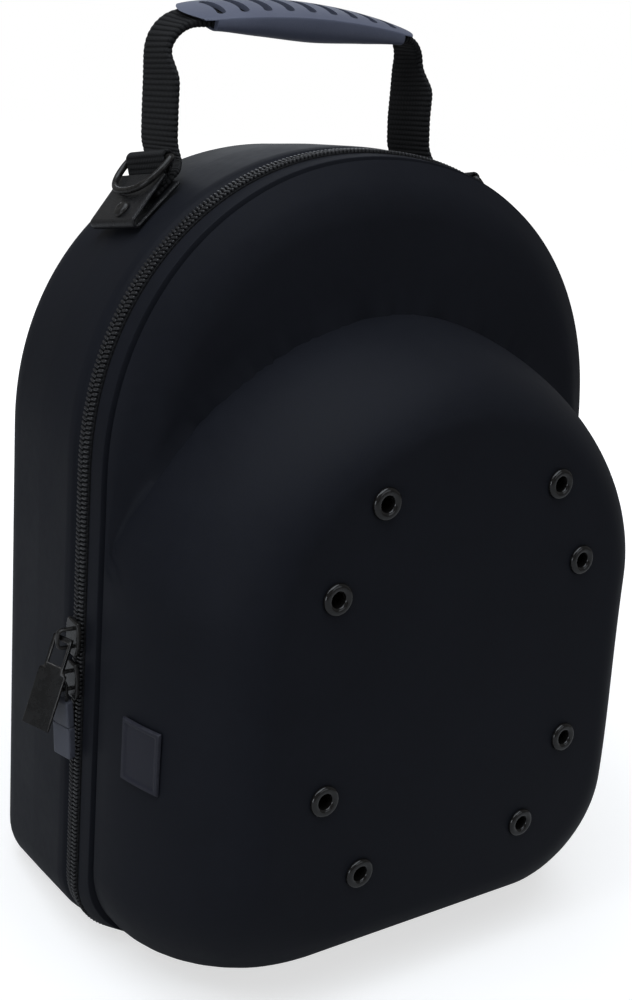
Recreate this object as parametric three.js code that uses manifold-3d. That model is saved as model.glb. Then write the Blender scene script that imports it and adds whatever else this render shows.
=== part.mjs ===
// Hard-shell cap carrier: two moulded foam shells closed by a zip, with a webbing handle on two anchors.
// Millimetres, +Z up, the front faces -Y. The origin lies on the floor under the rear shell's flat base.
import * as THREE from "three";
import { mergeVertices } from "three/addons/utils/BufferGeometryUtils.js";
import Module from "manifold-3d";

const wasm = await Module();
wasm.setup();

// Driving sizes of the case
const CASE_WIDTH = 235;
const CASE_HEIGHT = 315;
const CORNER_RADIUS = 30;
const LEAST_CORNER = 10;
const ARCH_POWER = 2.12;
const WALL = 4.5;
const GAP = 0.3;
const ZIP_Y = -36;
const HALF_WIDTH = CASE_WIDTH / 2;
const ARCH_Z = CASE_HEIGHT - HALF_WIDTH;

// Points on each half of an outline: floor, corner, side and arch
const OUTLINE_STEPS = { floor: 4, corner: 7, side: 6, arch: 14 };

// Front shell: the lip round the form, the shallow upper face and the cap-crown bulge
const LIP = { inset: 2.6, y: -14.6, foot: 0, corner: 42 };
const UPPER_FACE = { depth: 2.3, radius: 20, power: 2.8, swell: 3, swellLength: 45 };
const CROWN = { radius: 35, power: 1.75, springZ: 157, rise: 100, archPower: 1.82, fillet: 15, fadeIn: 14 };
const CROWN_FACE = { depth: 62.7, belly: 6, bellyZ: 62, bellySpread: 70 };

// Rings of points over the front: across the rim as far as the crown's foot, then over the crown to its pole
const FRONT_POLE_Z = 132;
const OUTER_RINGS = { rim: 4, crown: 9 };
const INNER_RINGS = { rim: 2, crown: 7 };
const RING_CROWDING = 2;
const LEAST_RIM_SHARE = 0.02;
const INNER_RIM_STEP = 1;

// Edge of the front shell from the zip to the lip: a bevel down into the moulded groove
const FRONT_EDGE = [
  { inset: 0.8, y: -4.8, foot: 1.6, corner: 29 },
  { inset: 1.5, y: -12.2, foot: 1.6, corner: 36 },
  { inset: 4.4, y: -12.7, foot: 2.4, corner: 39.5 },
  { inset: 4.4, y: -13.9, foot: 2.4, corner: 39.5 },
];

// Rear shell from its cut edge at the zip to the start of the back rounding
const REAR_WALL = [
  { inset: 1.4, y: 4.8, foot: 1.6, corner: 29 },
  { inset: -0.5, y: 7.4, foot: 0, corner: 30 },
  { inset: -1.0, y: 11, foot: 0, corner: 29 },
  { inset: -0.4, y: 39, foot: 0, corner: 23 },
  { inset: 0.8, y: 63, foot: 0, corner: 17 },
];
const BACK = { round: 30, footRound: 14, steps: 5, faceRings: 2, swell: 1.5 };

// Zip: sections as inset and depth from the zip plane
const CHAIN_SECTION = [
  { inset: 2.2, y: -4.2 },
  { inset: 0.2, y: -4.2 },
  { inset: -0.6, y: -2.2 },
  { inset: -0.6, y: 2.2 },
  { inset: 0.2, y: 4.2 },
  { inset: 2.2, y: 4.2 },
];
const TAPE = { inset: 2.5, thickness: 0.9, inner: 0.2, outer: 4.5 };
const HINGE_STRIP = { inset: 1.0, thickness: 1.2, outer: 4.5 };
const CHAIN_FOOT = 1.6;

// Sliders and pulls on the left wall
const SLIDER = { length: 14, width: 10.5, nose: 6, plate: 1.8, shoulder: 0.35, hip: 0.6, tail: 0.8 };
const BRIDGE = { length: 8.4, height: 6.2, width: 1.6, sink: 0.2, knee: 0.5, crest: 0.4 };
const BRIDGE_EYE = { length: 5, height: 3.6, floor: 1.4 };
const SLIDER_Z = { upper: 134, lower: 117 };
const FLAT_PULL = { width: 11.8, length: 23, thickness: 1.3 };
const FLAT_PULL_REST = { twistDeg: 34, swingDeg: 15, leanDeg: 9 };
const STIRRUP = { width: 8.4, length: 13, slotWidth: 6.0, slotLength: 9.4 };
const RUBBER_PULL = { topWidth: 5, width: 9.5, wedge: 10.5, length: 24, thickness: 3.4, drop: 7.6 };
const RUBBER_PULL_REST = { twistDeg: 16, swingDeg: -4, leanDeg: 0 };
const WIRE_LINK = { width: 6, wire: 1.2, seat: 3.2 };

// Handle
const STRAP = { width: 29.5, thickness: 1.8, x: 61.5, bend: 13, gripY: 62.5 };
const STRAP_FOLDED = { width: 20, thickness: 3.0 };
const STRAP_RISE = [
  { outward: 1.2, above: 6.4, lean: 0.6 },
  { outward: 0.3, above: 14, lean: 0.94 },
  { outward: 0, above: 26, lean: 1 },
  { outward: 0, above: 38, lean: 1 },
];
const STRAP_BEND = { steps: 5, shift: 4.6 };
const GRIP = { length: 110, openEnd: 10, z: 360.8, arch: 3.6, tiltDeg: 16, slope: 0.05 };
const GRIP_END = { from: 0.82, round: 5 };
const GRIP_STEPS = 4;
const GRIP_CHANNEL = { width: 21, height: 3.9 };
const GRIP_SLOTS = { count: 9, pitch: 10.4, width: 4, length: 18 };
const CUT_REACH = 60;
const GRIP_STATIONS = [
  { at: -1.0, halfWidth: 12.0, belly: 2.4, rim: 2.4, dome: 0.6 },
  { at: -0.82, halfWidth: 13.2, belly: 2.8, rim: 2.5, dome: 1.0 },
  { at: -0.45, halfWidth: 14.5, belly: 5.6, rim: 2.7, dome: 1.4 },
  { at: 0.0, halfWidth: 15.0, belly: 7.4, rim: 2.8, dome: 1.6 },
  { at: 0.45, halfWidth: 14.5, belly: 5.6, rim: 2.7, dome: 1.4 },
  { at: 0.82, halfWidth: 13.2, belly: 2.8, rim: 2.5, dome: 1.0 },
  { at: 1.0, halfWidth: 12.0, belly: 2.4, rim: 2.4, dome: 0.6 },
];
const GRIP_PROFILE = [
  { across: 0.72, belly: -1, rim: 0, dome: 0 },
  { across: 1, belly: -0.45, rim: 0, dome: 0 },
  { across: 1, belly: 0, rim: 0.6, dome: 0 },
  { across: 0.86, belly: 0, rim: 1, dome: 0.3 },
  { across: 0.45, belly: 0, rim: 1, dome: 0.85 },
  { across: 0, belly: 0, rim: 1, dome: 1 },
];

// Anchors on the shoulders, laid out along the wall: up = towards the top of the arch, out = off the wall
const ANCHOR = { angleDeg: 41.5, y: 41, turnDeg: 10 };
const TAB = {
  width: 28.8,
  across: -2.4,
  leather: 1.6,
  foldUp: -13,
  foldGap: 1.4,
  lower: 1.3,
  lowerTop: 11,
  upper: 7.4,
  upperTop: 8,
};
const LOOP = { width: 24.4, across: -3.2, webbing: 1.2, seat: 6.0, bottom: 5, bendUp: 8.5 };
const LOOP_EYE = { up: 14.0, out: 11.2, radius: 3.4, hole: 1.8, overlap: 0.6 };
const D_RING = { wire: 1.3, bar: 27.4, depth: 16.5, shoulder: 1.2, spread: 0.4, power: 2.4, tiltDeg: 5 };
const D_RING_STEPS = { bar: 3, bow: 10, wire: 6 };
const RIVET = { up: -9.4, across: -6, radius: 3.4, height: 1.6 };
const RIVET_DOME = { edge: 0.4, radius: 0.7, height: 0.85 };
const STRAP_SEAT = { out: 4.2, bottom: 1.2, top: 11.6, exit: 15 };

// Vent eyelets: places on the front face, each mirrored
const EYELET_PLACES = [
  { x: 41.1, z: 201.4 },
  { x: 58.4, z: 169.1 },
  { x: 59.0, z: 93.9 },
  { x: 40.5, z: 59.8 },
];
const EYELET = { flange: 6.0, hole: 2.8, barrel: 4.1, rise: 1.5, inside: 0.4, edge: 0.3, brow: 0.6 };
const DRILL_LENGTH = 27;

// Patch on the left side of the front shell: run along the depth, and height
const PATCH = { nearY: -50.8, farY: -32.6, bottomZ: 91, topZ: 115.5, thickness: 1.2, columns: 6 };

// Materials: colour, roughness, metalness
const FINISHES = {
  shell: { color: 0x1a1b20, roughness: 0.62, metalness: 0 },
  tape: { color: 0x191a1c, roughness: 0.9, metalness: 0 },
  chain: { color: 0x141416, roughness: 0.5, metalness: 0 },
  blackMetal: { color: 0x121212, roughness: 0.25, metalness: 0.9 },
  webbing: { color: 0x151516, roughness: 0.85, metalness: 0 },
  grip: { color: 0x3c3e50, roughness: 0.6, metalness: 0 },
  leather: { color: 0x17171a, roughness: 0.4, metalness: 0 },
  rubber: { color: 0x45474f, roughness: 0.6, metalness: 0 },
  patch: { color: 0x22232b, roughness: 0.55, metalness: 0 },
};

const radians = THREE.MathUtils.degToRad;
const SLOPE_STEP = 0.5;
const WELD = 1e-3;

// A number's absolute value to a power, with its sign kept.
function signedPower(value, power) {
  return Math.sign(value) * Math.abs(value) ** power;
}

// Rounded rise from 0 to 1 over the distance `radius` from an edge.
function roundedRise(distance, radius, power) {
  const share = THREE.MathUtils.clamp(distance / radius, 0, 1);
  return (1 - (1 - share) ** power) ** (1 / power);
}

// Tombstone outline at an inset from the zip's outline, as points that run anticlockwise seen from the front.
function outline({ inset, y, foot, corner: given }) {
  const half = HALF_WIDTH - inset;
  const corner = Math.max(given ?? CORNER_RADIUS - inset, LEAST_CORNER);
  const right = [];
  for (let i = 0; i < OUTLINE_STEPS.floor; i++) {
    right.push([((half - corner) * i) / OUTLINE_STEPS.floor, foot]);
  }
  for (let i = 0; i < OUTLINE_STEPS.corner; i++) {
    const turn = ((Math.PI / 2) * i) / OUTLINE_STEPS.corner;
    right.push([half - corner + corner * Math.sin(turn), foot + corner - corner * Math.cos(turn)]);
  }
  for (let i = 0; i < OUTLINE_STEPS.side; i++) {
    right.push([half, THREE.MathUtils.lerp(foot + corner, ARCH_Z, i / OUTLINE_STEPS.side)]);
  }
  for (let i = 0; i <= OUTLINE_STEPS.arch; i++) {
    const turn = ((Math.PI / 2) * i) / OUTLINE_STEPS.arch;
    const across = half * signedPower(Math.cos(turn), 2 / ARCH_POWER);
    right.push([across, ARCH_Z + half * signedPower(Math.sin(turn), 2 / ARCH_POWER)]);
  }
  const left = right.slice(1, -1).reverse().map(([x, z]) => [-x, z]);
  return [...right, ...left].map(([x, z]) => new THREE.Vector3(x, y, z));
}

// Distance of a point of the front from the lip's outline.
function lipDistance(x, z) {
  const half = HALF_WIDTH - LIP.inset;
  const across = Math.abs(x);
  if (z < ARCH_Z) {
    const fromSide = half - across;
    const fromFloor = z - LIP.foot;
    const uneven = Math.abs(fromSide - fromFloor);
    if (uneven >= LIP.corner) return Math.min(fromSide, fromFloor);
    return (fromSide + fromFloor + Math.sqrt(2 * LIP.corner ** 2 - uneven ** 2)) / 2 - LIP.corner;
  }
  const above = (z - ARCH_Z) / half;
  return half * (1 - ((across / half) ** ARCH_POWER + above ** ARCH_POWER) ** (1 / ARCH_POWER));
}

// Distance of a point of the front from the foot of the crown, below 0 where it lies on the upper face.
function crownDistance(x, z) {
  const above = (z - CROWN.springZ) / CROWN.rise;
  if (above <= 0) return lipDistance(x, z);
  const half = HALF_WIDTH - LIP.inset;
  const { archPower } = CROWN;
  return half * (1 - ((Math.abs(x) / half) ** archPower + above ** archPower) ** (1 / archPower));
}

// Depth of the crown's face in front of the lip at a height.
function faceDepth(z) {
  const { depth, belly, bellyZ, bellySpread } = CROWN_FACE;
  return depth + belly * Math.exp(-(((z - bellyZ) / bellySpread) ** 2));
}

// Depth of the front shell in front of its lip. `shrink` moves the form inwards, for the inner surface.
function frontDepth(x, z, shrink = 0) {
  const fromLip = Math.max(lipDistance(x, z) - shrink, 0);
  const swell = UPPER_FACE.swell * (1 - Math.exp(-fromLip / UPPER_FACE.swellLength));
  const upper = UPPER_FACE.depth * roundedRise(fromLip, UPPER_FACE.radius, UPPER_FACE.power) + swell;
  const crown = faceDepth(z) * roundedRise(crownDistance(x, z) - shrink, CROWN.radius, CROWN.power);
  const fillet = CROWN.fillet * Math.min(fromLip / CROWN.fadeIn, 1);
  return (upper + crown + Math.hypot(upper - crown, fillet)) / 2;
}

// Point of the front shell's outer surface, and its outward normal from small differences.
function frontPoint(x, z) {
  return new THREE.Vector3(x, LIP.y - frontDepth(x, z), z);
}
function frontNormal(x, z) {
  const alongX = frontPoint(x + SLOPE_STEP, z).sub(frontPoint(x - SLOPE_STEP, z));
  const alongZ = frontPoint(x, z + SLOPE_STEP).sub(frontPoint(x, z - SLOPE_STEP));
  return alongX.cross(alongZ).normalize();
}

// Signed volume of a closed triangle list.
function signedVolume(points, faces) {
  let total = 0;
  for (const [a, b, c] of faces) total += points[a].dot(points[b].clone().cross(points[c])) / 6;
  return total;
}

// Closed geometry from points and faces, turned to face outwards.
function closedGeometry(points, faces) {
  const inward = signedVolume(points, faces) < 0;
  const index = faces.flatMap(([a, b, c]) => (inward ? [a, c, b] : [a, b, c]));
  const geometry = new THREE.BufferGeometry().setFromPoints(points);
  geometry.setIndex(index);
  return geometry;
}

// Skin over rings of equally many points. Each end closes on a point: the one given, or the ring's middle.
function skin(rings, startPoint, endPoint) {
  const count = rings[0].length;
  const middle = (ring) => ring.reduce((sum, p) => sum.add(p), new THREE.Vector3()).divideScalar(count);
  const points = [startPoint ?? middle(rings[0]), ...rings.flat(), endPoint ?? middle(rings.at(-1))];
  const last = points.length - 1;
  const at = (ring, i) => 1 + ring * count + (i % count);
  const faces = [];
  for (let i = 0; i < count; i++) {
    faces.push([0, at(0, i + 1), at(0, i)]);
    faces.push([at(rings.length - 1, i), at(rings.length - 1, i + 1), last]);
    for (let ring = 0; ring + 1 < rings.length; ring++) {
      faces.push([at(ring, i), at(ring, i + 1), at(ring + 1, i + 1)]);
      faces.push([at(ring, i), at(ring + 1, i + 1), at(ring + 1, i)]);
    }
  }
  return closedGeometry(points, faces);
}

// Solid for booleans from a geometry, and a geometry from a solid.
function solidOf(geometry) {
  const bare = geometry.clone();
  bare.deleteAttribute("normal");
  bare.deleteAttribute("uv");
  const merged = mergeVertices(bare, WELD);
  return new wasm.Manifold(
    new wasm.Mesh({
      numProp: 3,
      vertProperties: merged.attributes.position.array,
      triVerts: new Uint32Array(merged.index.array),
    }),
  );
}
function geometryOf(solid) {
  const mesh = solid.getMesh();
  const geometry = new THREE.BufferGeometry();
  geometry.setAttribute("position", new THREE.BufferAttribute(mesh.vertProperties, 3));
  geometry.setIndex(new THREE.BufferAttribute(mesh.triVerts, 1));
  return geometry;
}

const part = new THREE.Group();
const caseGroup = new THREE.Group();
caseGroup.position.y = ZIP_Y;
part.add(caseGroup);

// A named mesh with a finish of its own, added to the case.
function addPiece(name, geometry, finish) {
  const mesh = new THREE.Mesh(geometry, new THREE.MeshStandardMaterial(FINISHES[finish]));
  mesh.name = name;
  mesh.geometry.computeVertexNormals();
  caseGroup.add(mesh);
}

// Place on the way from an edge point to the front's pole.
function towardsPole(p, share) {
  return { x: p.x * (1 - share), z: THREE.MathUtils.lerp(p.z, FRONT_POLE_Z, share) };
}

// Share of the way from an edge point to the pole at which the crown's wall starts.
function crownStart(p, shrink) {
  let low = 0;
  let high = 1;
  while (high - low > WELD) {
    const middle = (low + high) / 2;
    const { x, z } = towardsPole(p, middle);
    if (crownDistance(x, z) > shrink) high = middle;
    else low = middle;
  }
  return Math.max(high, LEAST_RIM_SHARE);
}

// One ring of places over the front: the rim's rings end at the crown's foot, the crown's rings crowd there.
function frontRing(edge, rings, step, shrink) {
  return edge.map((p) => {
    const start = crownStart(p, shrink);
    if (step <= rings.rim) return towardsPole(p, (start * step) / rings.rim);
    return towardsPole(p, start + (1 - start) * ((step - rings.rim) / rings.crown) ** RING_CROWDING);
  });
}

function frontShell() {
  const innerEdge = { inset: LIP.inset + WALL, foot: LIP.foot + WALL, corner: LIP.corner - WALL };
  const rimInner = outline({ ...innerEdge, y: FRONT_EDGE[0].y });
  const innerY = (x, z) => Math.min(LIP.y - frontDepth(x, z, WALL) + WALL, FRONT_EDGE[0].y - INNER_RIM_STEP);
  const inner = [];
  for (let step = INNER_RINGS.rim + INNER_RINGS.crown - 1; step >= 0; step--) {
    const flat = frontRing(rimInner, INNER_RINGS, step, WALL);
    inner.push(flat.map(({ x, z }) => new THREE.Vector3(x, innerY(x, z), z)));
  }
  const outer = [];
  const lip = outline(LIP);
  for (let step = 1; step < OUTER_RINGS.rim + OUTER_RINGS.crown; step++) {
    const flat = frontRing(lip, OUTER_RINGS, step, 0);
    outer.push(flat.map(({ x, z }) => frontPoint(x, z)));
  }
  const innerPole = new THREE.Vector3(0, innerY(0, FRONT_POLE_Z), FRONT_POLE_Z);
  const rings = [...inner, rimInner, ...FRONT_EDGE.map(outline), lip, ...outer];
  const body = solidOf(skin(rings, innerPole, frontPoint(0, FRONT_POLE_Z)));
  const holes = eyeletPlaces().map(({ x, z }) => {
    const drill = new THREE.CylinderGeometry(EYELET.barrel + GAP, EYELET.barrel + GAP, DRILL_LENGTH, 12);
    return solidOf(drill.applyMatrix4(frontFrame(x, z)));
  });
  return geometryOf(body.subtract(wasm.Manifold.union(holes)));
}

function rearShell() {
  const start = REAR_WALL.at(-1);
  const outer = [];
  const backY = start.y + BACK.round;
  const backInset = start.inset + BACK.round;
  const backEdge = outline({ inset: backInset, y: backY, foot: BACK.footRound, corner: start.corner });
  const poleZ = ARCH_Z - BACK.round;
  for (let step = BACK.faceRings; step >= 1; step--) {
    const share = step / (BACK.faceRings + 1);
    const y = backY + BACK.swell * (1 - (1 - share) ** 2);
    const along = (p) => new THREE.Vector3(p.x * (1 - share), y, THREE.MathUtils.lerp(p.z, poleZ, share));
    outer.push(backEdge.map(along));
  }
  for (let step = BACK.steps; step >= 1; step--) {
    const turn = ((Math.PI / 2) * step) / BACK.steps;
    const eased = 1 - Math.cos(turn);
    const inset = start.inset + BACK.round * eased;
    const y = start.y + BACK.round * Math.sin(turn);
    outer.push(outline({ inset, y, foot: BACK.footRound * eased, corner: start.corner }));
  }
  const walls = [...REAR_WALL].reverse();
  outer.push(...walls.map(outline));
  const mouth = REAR_WALL[0];
  const inner = [outline({ inset: mouth.inset + WALL, y: mouth.y, foot: WALL, corner: mouth.corner - WALL })];
  const innerCorner = start.corner - WALL;
  inner.push(outline({ inset: start.inset + WALL, y: start.y, foot: WALL, corner: innerCorner }));
  const innerRound = BACK.round - WALL;
  for (let step = 1; step <= BACK.steps; step++) {
    const turn = ((Math.PI / 2) * step) / BACK.steps;
    const eased = 1 - Math.cos(turn);
    const inset = start.inset + WALL + innerRound * eased;
    const foot = WALL + (BACK.footRound - WALL) * eased;
    inner.push(outline({ inset, y: start.y + innerRound * Math.sin(turn), foot, corner: innerCorner }));
  }
  const outerPole = new THREE.Vector3(0, backY + BACK.swell, poleZ);
  const innerPole = new THREE.Vector3(0, start.y + innerRound, poleZ);
  return skin([...outer, ...inner], outerPole, innerPole);
}

// Band along the zip's outline: the closed section carried over the outline points from `first` to `last`.
function zipBand(section, first, last) {
  const lines = section.map(({ inset, y }) => outline({ inset, y, foot: CHAIN_FOOT + inset }));
  const sections = [];
  const count = lines[0].length;
  for (let i = first; i <= last; i++) sections.push(lines.map((line) => line[(i + count) % count].clone()));
  return skin(sections);
}

// Rectangle section of a band, from its outer face inwards.
function bandSection(inset, thickness, low, high) {
  return [
    { inset, y: low },
    { inset, y: high },
    { inset: inset + thickness, y: high },
    { inset: inset + thickness, y: low },
  ];
}

function zip() {
  const count = outline(LIP).length;
  const start = OUTLINE_STEPS.floor;
  addPiece("zip_chain", zipBand(CHAIN_SECTION, start, count - start), "chain");
  const front = bandSection(TAPE.inset, TAPE.thickness, -TAPE.outer, -TAPE.inner);
  const rear = bandSection(TAPE.inset, TAPE.thickness, TAPE.inner, TAPE.outer);
  addPiece("zip_tape_front", zipBand(front, start, count - start), "tape");
  addPiece("zip_tape_rear", zipBand(rear, start, count - start), "tape");
  const strip = bandSection(HINGE_STRIP.inset, HINGE_STRIP.thickness, -HINGE_STRIP.outer, HINGE_STRIP.outer);
  const hinge = zipBand(strip, -start, start);
  hinge.scale(1 - GAP / (HALF_WIDTH - CORNER_RADIUS), 1, 1);
  addPiece("hinge_strip", hinge, "tape");
}

// Place on the left wall at the zip: local x to the rear, y up and z off the wall.
function leftWallFrame(z, offWall) {
  const basis = new THREE.Matrix4().makeBasis(
    new THREE.Vector3(0, 1, 0),
    new THREE.Vector3(0, 0, 1),
    new THREE.Vector3(1, 0, 0),
  );
  const turn = new THREE.Matrix4().makeScale(1, 1, -1);
  const outer = -(HALF_WIDTH - CHAIN_SECTION[2].inset + offWall);
  return new THREE.Matrix4().makeTranslation(outer, 0, z).multiply(basis).multiply(turn);
}

// Closed geometry carried by a matrix, with its faces turned back where the matrix mirrors.
function carried(geometry, matrix) {
  const bare = new THREE.BufferGeometry();
  bare.setAttribute("position", geometry.getAttribute("position").clone());
  bare.setIndex(geometry.index ? geometry.index.clone() : null);
  const moved = mergeVertices(bare, WELD);
  moved.applyMatrix4(matrix);
  if (matrix.determinant() < 0) {
    const index = moved.index.array;
    for (let i = 0; i < index.length; i += 3) [index[i + 1], index[i + 2]] = [index[i + 2], index[i + 1]];
  }
  return moved;
}

function flatExtrusion(shape, depth, curveSegments = 6) {
  return new THREE.ExtrudeGeometry(shape, { depth, bevelEnabled: false, curveSegments });
}

function rectangle(left, bottom, right, top) {
  return new THREE.Shape([
    new THREE.Vector2(left, bottom),
    new THREE.Vector2(right, bottom),
    new THREE.Vector2(right, top),
    new THREE.Vector2(left, top),
  ]);
}

// Slider: a shield plate with a bridge whose eye runs along the depth of the case.
function slider(name, z, noseUp) {
  const half = SLIDER.width / 2;
  const end = SLIDER.length / 2;
  const plate = new THREE.Shape();
  plate.moveTo(-SLIDER.nose / 2, end);
  plate.lineTo(-half, end * SLIDER.shoulder);
  plate.lineTo(-half, -end * SLIDER.hip);
  plate.lineTo(-half * SLIDER.tail, -end);
  plate.lineTo(half * SLIDER.tail, -end);
  plate.lineTo(half, -end * SLIDER.hip);
  plate.lineTo(half, end * SLIDER.shoulder);
  plate.lineTo(SLIDER.nose / 2, end);
  plate.closePath();
  const body = flatExtrusion(plate, SLIDER.plate);
  if (!noseUp) body.rotateZ(Math.PI);
  const arch = new THREE.Shape();
  const foot = BRIDGE.length / 2;
  const crest = foot * BRIDGE.crest;
  const knee = BRIDGE.height * BRIDGE.knee;
  arch.moveTo(-foot, -BRIDGE.sink);
  arch.lineTo(foot, -BRIDGE.sink);
  arch.lineTo(foot, knee);
  arch.quadraticCurveTo(foot, BRIDGE.height, crest, BRIDGE.height);
  arch.lineTo(-crest, BRIDGE.height);
  arch.quadraticCurveTo(-foot, BRIDGE.height, -foot, knee);
  arch.closePath();
  const eye = BRIDGE_EYE.length / 2;
  arch.holes.push(rectangle(-eye, BRIDGE_EYE.floor, eye, BRIDGE_EYE.floor + BRIDGE_EYE.height));
  const bridge = flatExtrusion(arch, BRIDGE.width, 4).translate(0, 0, -BRIDGE.width / 2);
  const stand = new THREE.Matrix4().makeBasis(
    new THREE.Vector3(0, 1, 0),
    new THREE.Vector3(0, 0, 1),
    new THREE.Vector3(1, 0, 0),
  );
  stand.setPosition(0, 0, SLIDER.plate);
  const joined = solidOf(body).add(solidOf(carried(bridge, stand)));
  addPiece(name, carried(geometryOf(joined), leftWallFrame(z, GAP)), "blackMetal");
}

// Height of the pulls' pivot off the chain: the middle of the bridge's eye.
const PIVOT_OUT = GAP + SLIDER.plate + BRIDGE_EYE.floor + BRIDGE_EYE.height / 2;

// Frame of a pull at rest in its slider's eye: x along its bar, y up the pull and z off its face.
// It is twisted towards the front, swung off the wall and leans to the rear.
function pullFrame(z, { twistDeg, swingDeg, leanDeg }) {
  const twist = radians(twistDeg);
  const out = new THREE.Vector3(-Math.cos(twist), -Math.sin(twist), 0);
  const bar = new THREE.Vector3(-Math.sin(twist), Math.cos(twist), 0);
  const up = new THREE.Vector3(0, 0, 1).applyAxisAngle(bar, radians(swingDeg));
  const face = out.applyAxisAngle(bar, radians(swingDeg));
  const lean = radians(leanDeg);
  const pivot = new THREE.Vector3().setFromMatrixPosition(leftWallFrame(z, PIVOT_OUT));
  const leaning = up.clone().multiplyScalar(Math.cos(lean)).addScaledVector(bar, -Math.sin(lean));
  const across = bar.clone().multiplyScalar(Math.cos(lean)).addScaledVector(up, Math.sin(lean));
  return new THREE.Matrix4().makeBasis(across, leaning, face).setPosition(pivot);
}

// Flat pull: a plate under a stirrup whose top bar passes through the bridge.
function flatPull() {
  const barHalf = (STIRRUP.length - STIRRUP.slotLength) / 4;
  const half = FLAT_PULL.width / 2;
  const neck = STIRRUP.width / 2;
  const neckEnd = barHalf - STIRRUP.length;
  const outer = new THREE.Shape();
  outer.moveTo(-neck, barHalf);
  outer.lineTo(-neck, neckEnd);
  outer.lineTo(-half, neckEnd);
  outer.lineTo(-half, neckEnd - FLAT_PULL.length);
  outer.lineTo(half, neckEnd - FLAT_PULL.length);
  outer.lineTo(half, neckEnd);
  outer.lineTo(neck, neckEnd);
  outer.lineTo(neck, barHalf);
  outer.closePath();
  const slot = STIRRUP.slotWidth / 2;
  outer.holes.push(rectangle(-slot, -barHalf - STIRRUP.slotLength, slot, -barHalf));
  const plate = flatExtrusion(outer, FLAT_PULL.thickness).translate(0, 0, -FLAT_PULL.thickness / 2);
  const place = pullFrame(SLIDER_Z.upper, FLAT_PULL_REST);
  addPiece("zip_pull_upper", carried(plate, place), "blackMetal");
}

// Moulded pull on a wire link through the lower bridge.
function mouldedPull() {
  const place = pullFrame(SLIDER_Z.lower, RUBBER_PULL_REST);
  const wire = WIRE_LINK.wire;
  const half = WIRE_LINK.width / 2;
  const linkBottom = -(RUBBER_PULL.drop + WIRE_LINK.seat);
  const frame = rectangle(-half, linkBottom, half, wire / 2);
  frame.holes.push(rectangle(-half + wire, linkBottom + wire, half - wire, -wire / 2));
  const link = flatExtrusion(frame, wire).translate(0, 0, -wire / 2);
  addPiece("zip_link_lower", carried(link, place), "blackMetal");
  const top = RUBBER_PULL.topWidth / 2 + WIRE_LINK.width / 4;
  const wide = RUBBER_PULL.width / 2;
  const body = new THREE.Shape();
  body.moveTo(-top, -RUBBER_PULL.drop);
  body.lineTo(-wide, -RUBBER_PULL.drop - RUBBER_PULL.wedge);
  body.lineTo(-wide, -RUBBER_PULL.drop - RUBBER_PULL.length);
  body.lineTo(wide, -RUBBER_PULL.drop - RUBBER_PULL.length);
  body.lineTo(wide, -RUBBER_PULL.drop - RUBBER_PULL.wedge);
  body.lineTo(top, -RUBBER_PULL.drop);
  body.closePath();
  const slab = flatExtrusion(body, RUBBER_PULL.thickness).translate(0, 0, -RUBBER_PULL.thickness / 2);
  const socket = rectangle(-half - GAP, linkBottom - GAP, half + GAP, GAP);
  const core = half - wire - GAP;
  socket.holes.push(rectangle(-core, linkBottom + wire + GAP, core, -RUBBER_PULL.drop - GAP));
  const cut = flatExtrusion(socket, wire + 2 * GAP).translate(0, 0, -wire / 2 - GAP);
  const moulded = geometryOf(solidOf(slab).subtract(solidOf(cut)));
  addPiece("zip_pull_lower", carried(moulded, place), "rubber");
}

// Strap section: a flat bar with cut corners, `across` along its width and `thick` through it.
function strapSection(width, thickness) {
  const cut = thickness / 3;
  const w = width / 2;
  const t = thickness / 2;
  return [
    [w, -t + cut],
    [w, t - cut],
    [w - cut, t],
    [-w + cut, t],
    [-w, t - cut],
    [-w, -t + cut],
    [-w + cut, -t],
    [w - cut, -t],
  ];
}

// Place of an anchor's local point: side is -1 on the left, up runs along the wall and out leaves it.
function anchorPoint(side, up, out, y = 0) {
  const angle = radians(ANCHOR.angleDeg);
  const bulge = (Math.sin(angle) ** ARCH_POWER + Math.cos(angle) ** ARCH_POWER) ** (-1 / ARCH_POWER);
  const turn = radians(ANCHOR.turnDeg);
  const along = up * Math.cos(turn) - y * Math.sin(turn);
  const back = up * Math.sin(turn) + y * Math.cos(turn);
  const reach = HALF_WIDTH * bulge + out;
  const x = reach * Math.sin(angle) - along * Math.cos(angle);
  const z = ARCH_Z + reach * Math.cos(angle) + along * Math.sin(angle);
  return new THREE.Vector3(side * x, ANCHOR.y + back, z);
}

// Directions at an anchor: up its tab, off the wall and across the tab.
function anchorUp(side) {
  return anchorPoint(side, 1, 0).sub(anchorPoint(side, 0, 0));
}
function anchorOut(side) {
  return anchorPoint(side, 0, 1).sub(anchorPoint(side, 0, 0));
}
function anchorAcross(side) {
  return anchorPoint(side, 0, 0, 1).sub(anchorPoint(side, 0, 0));
}

// Rise of the arched grip, and of the strap in it, at a place along the handle.
function gripLift(x) {
  return GRIP.arch * (1 - (x / (STRAP.x - STRAP.bend)) ** 2);
}

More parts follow.
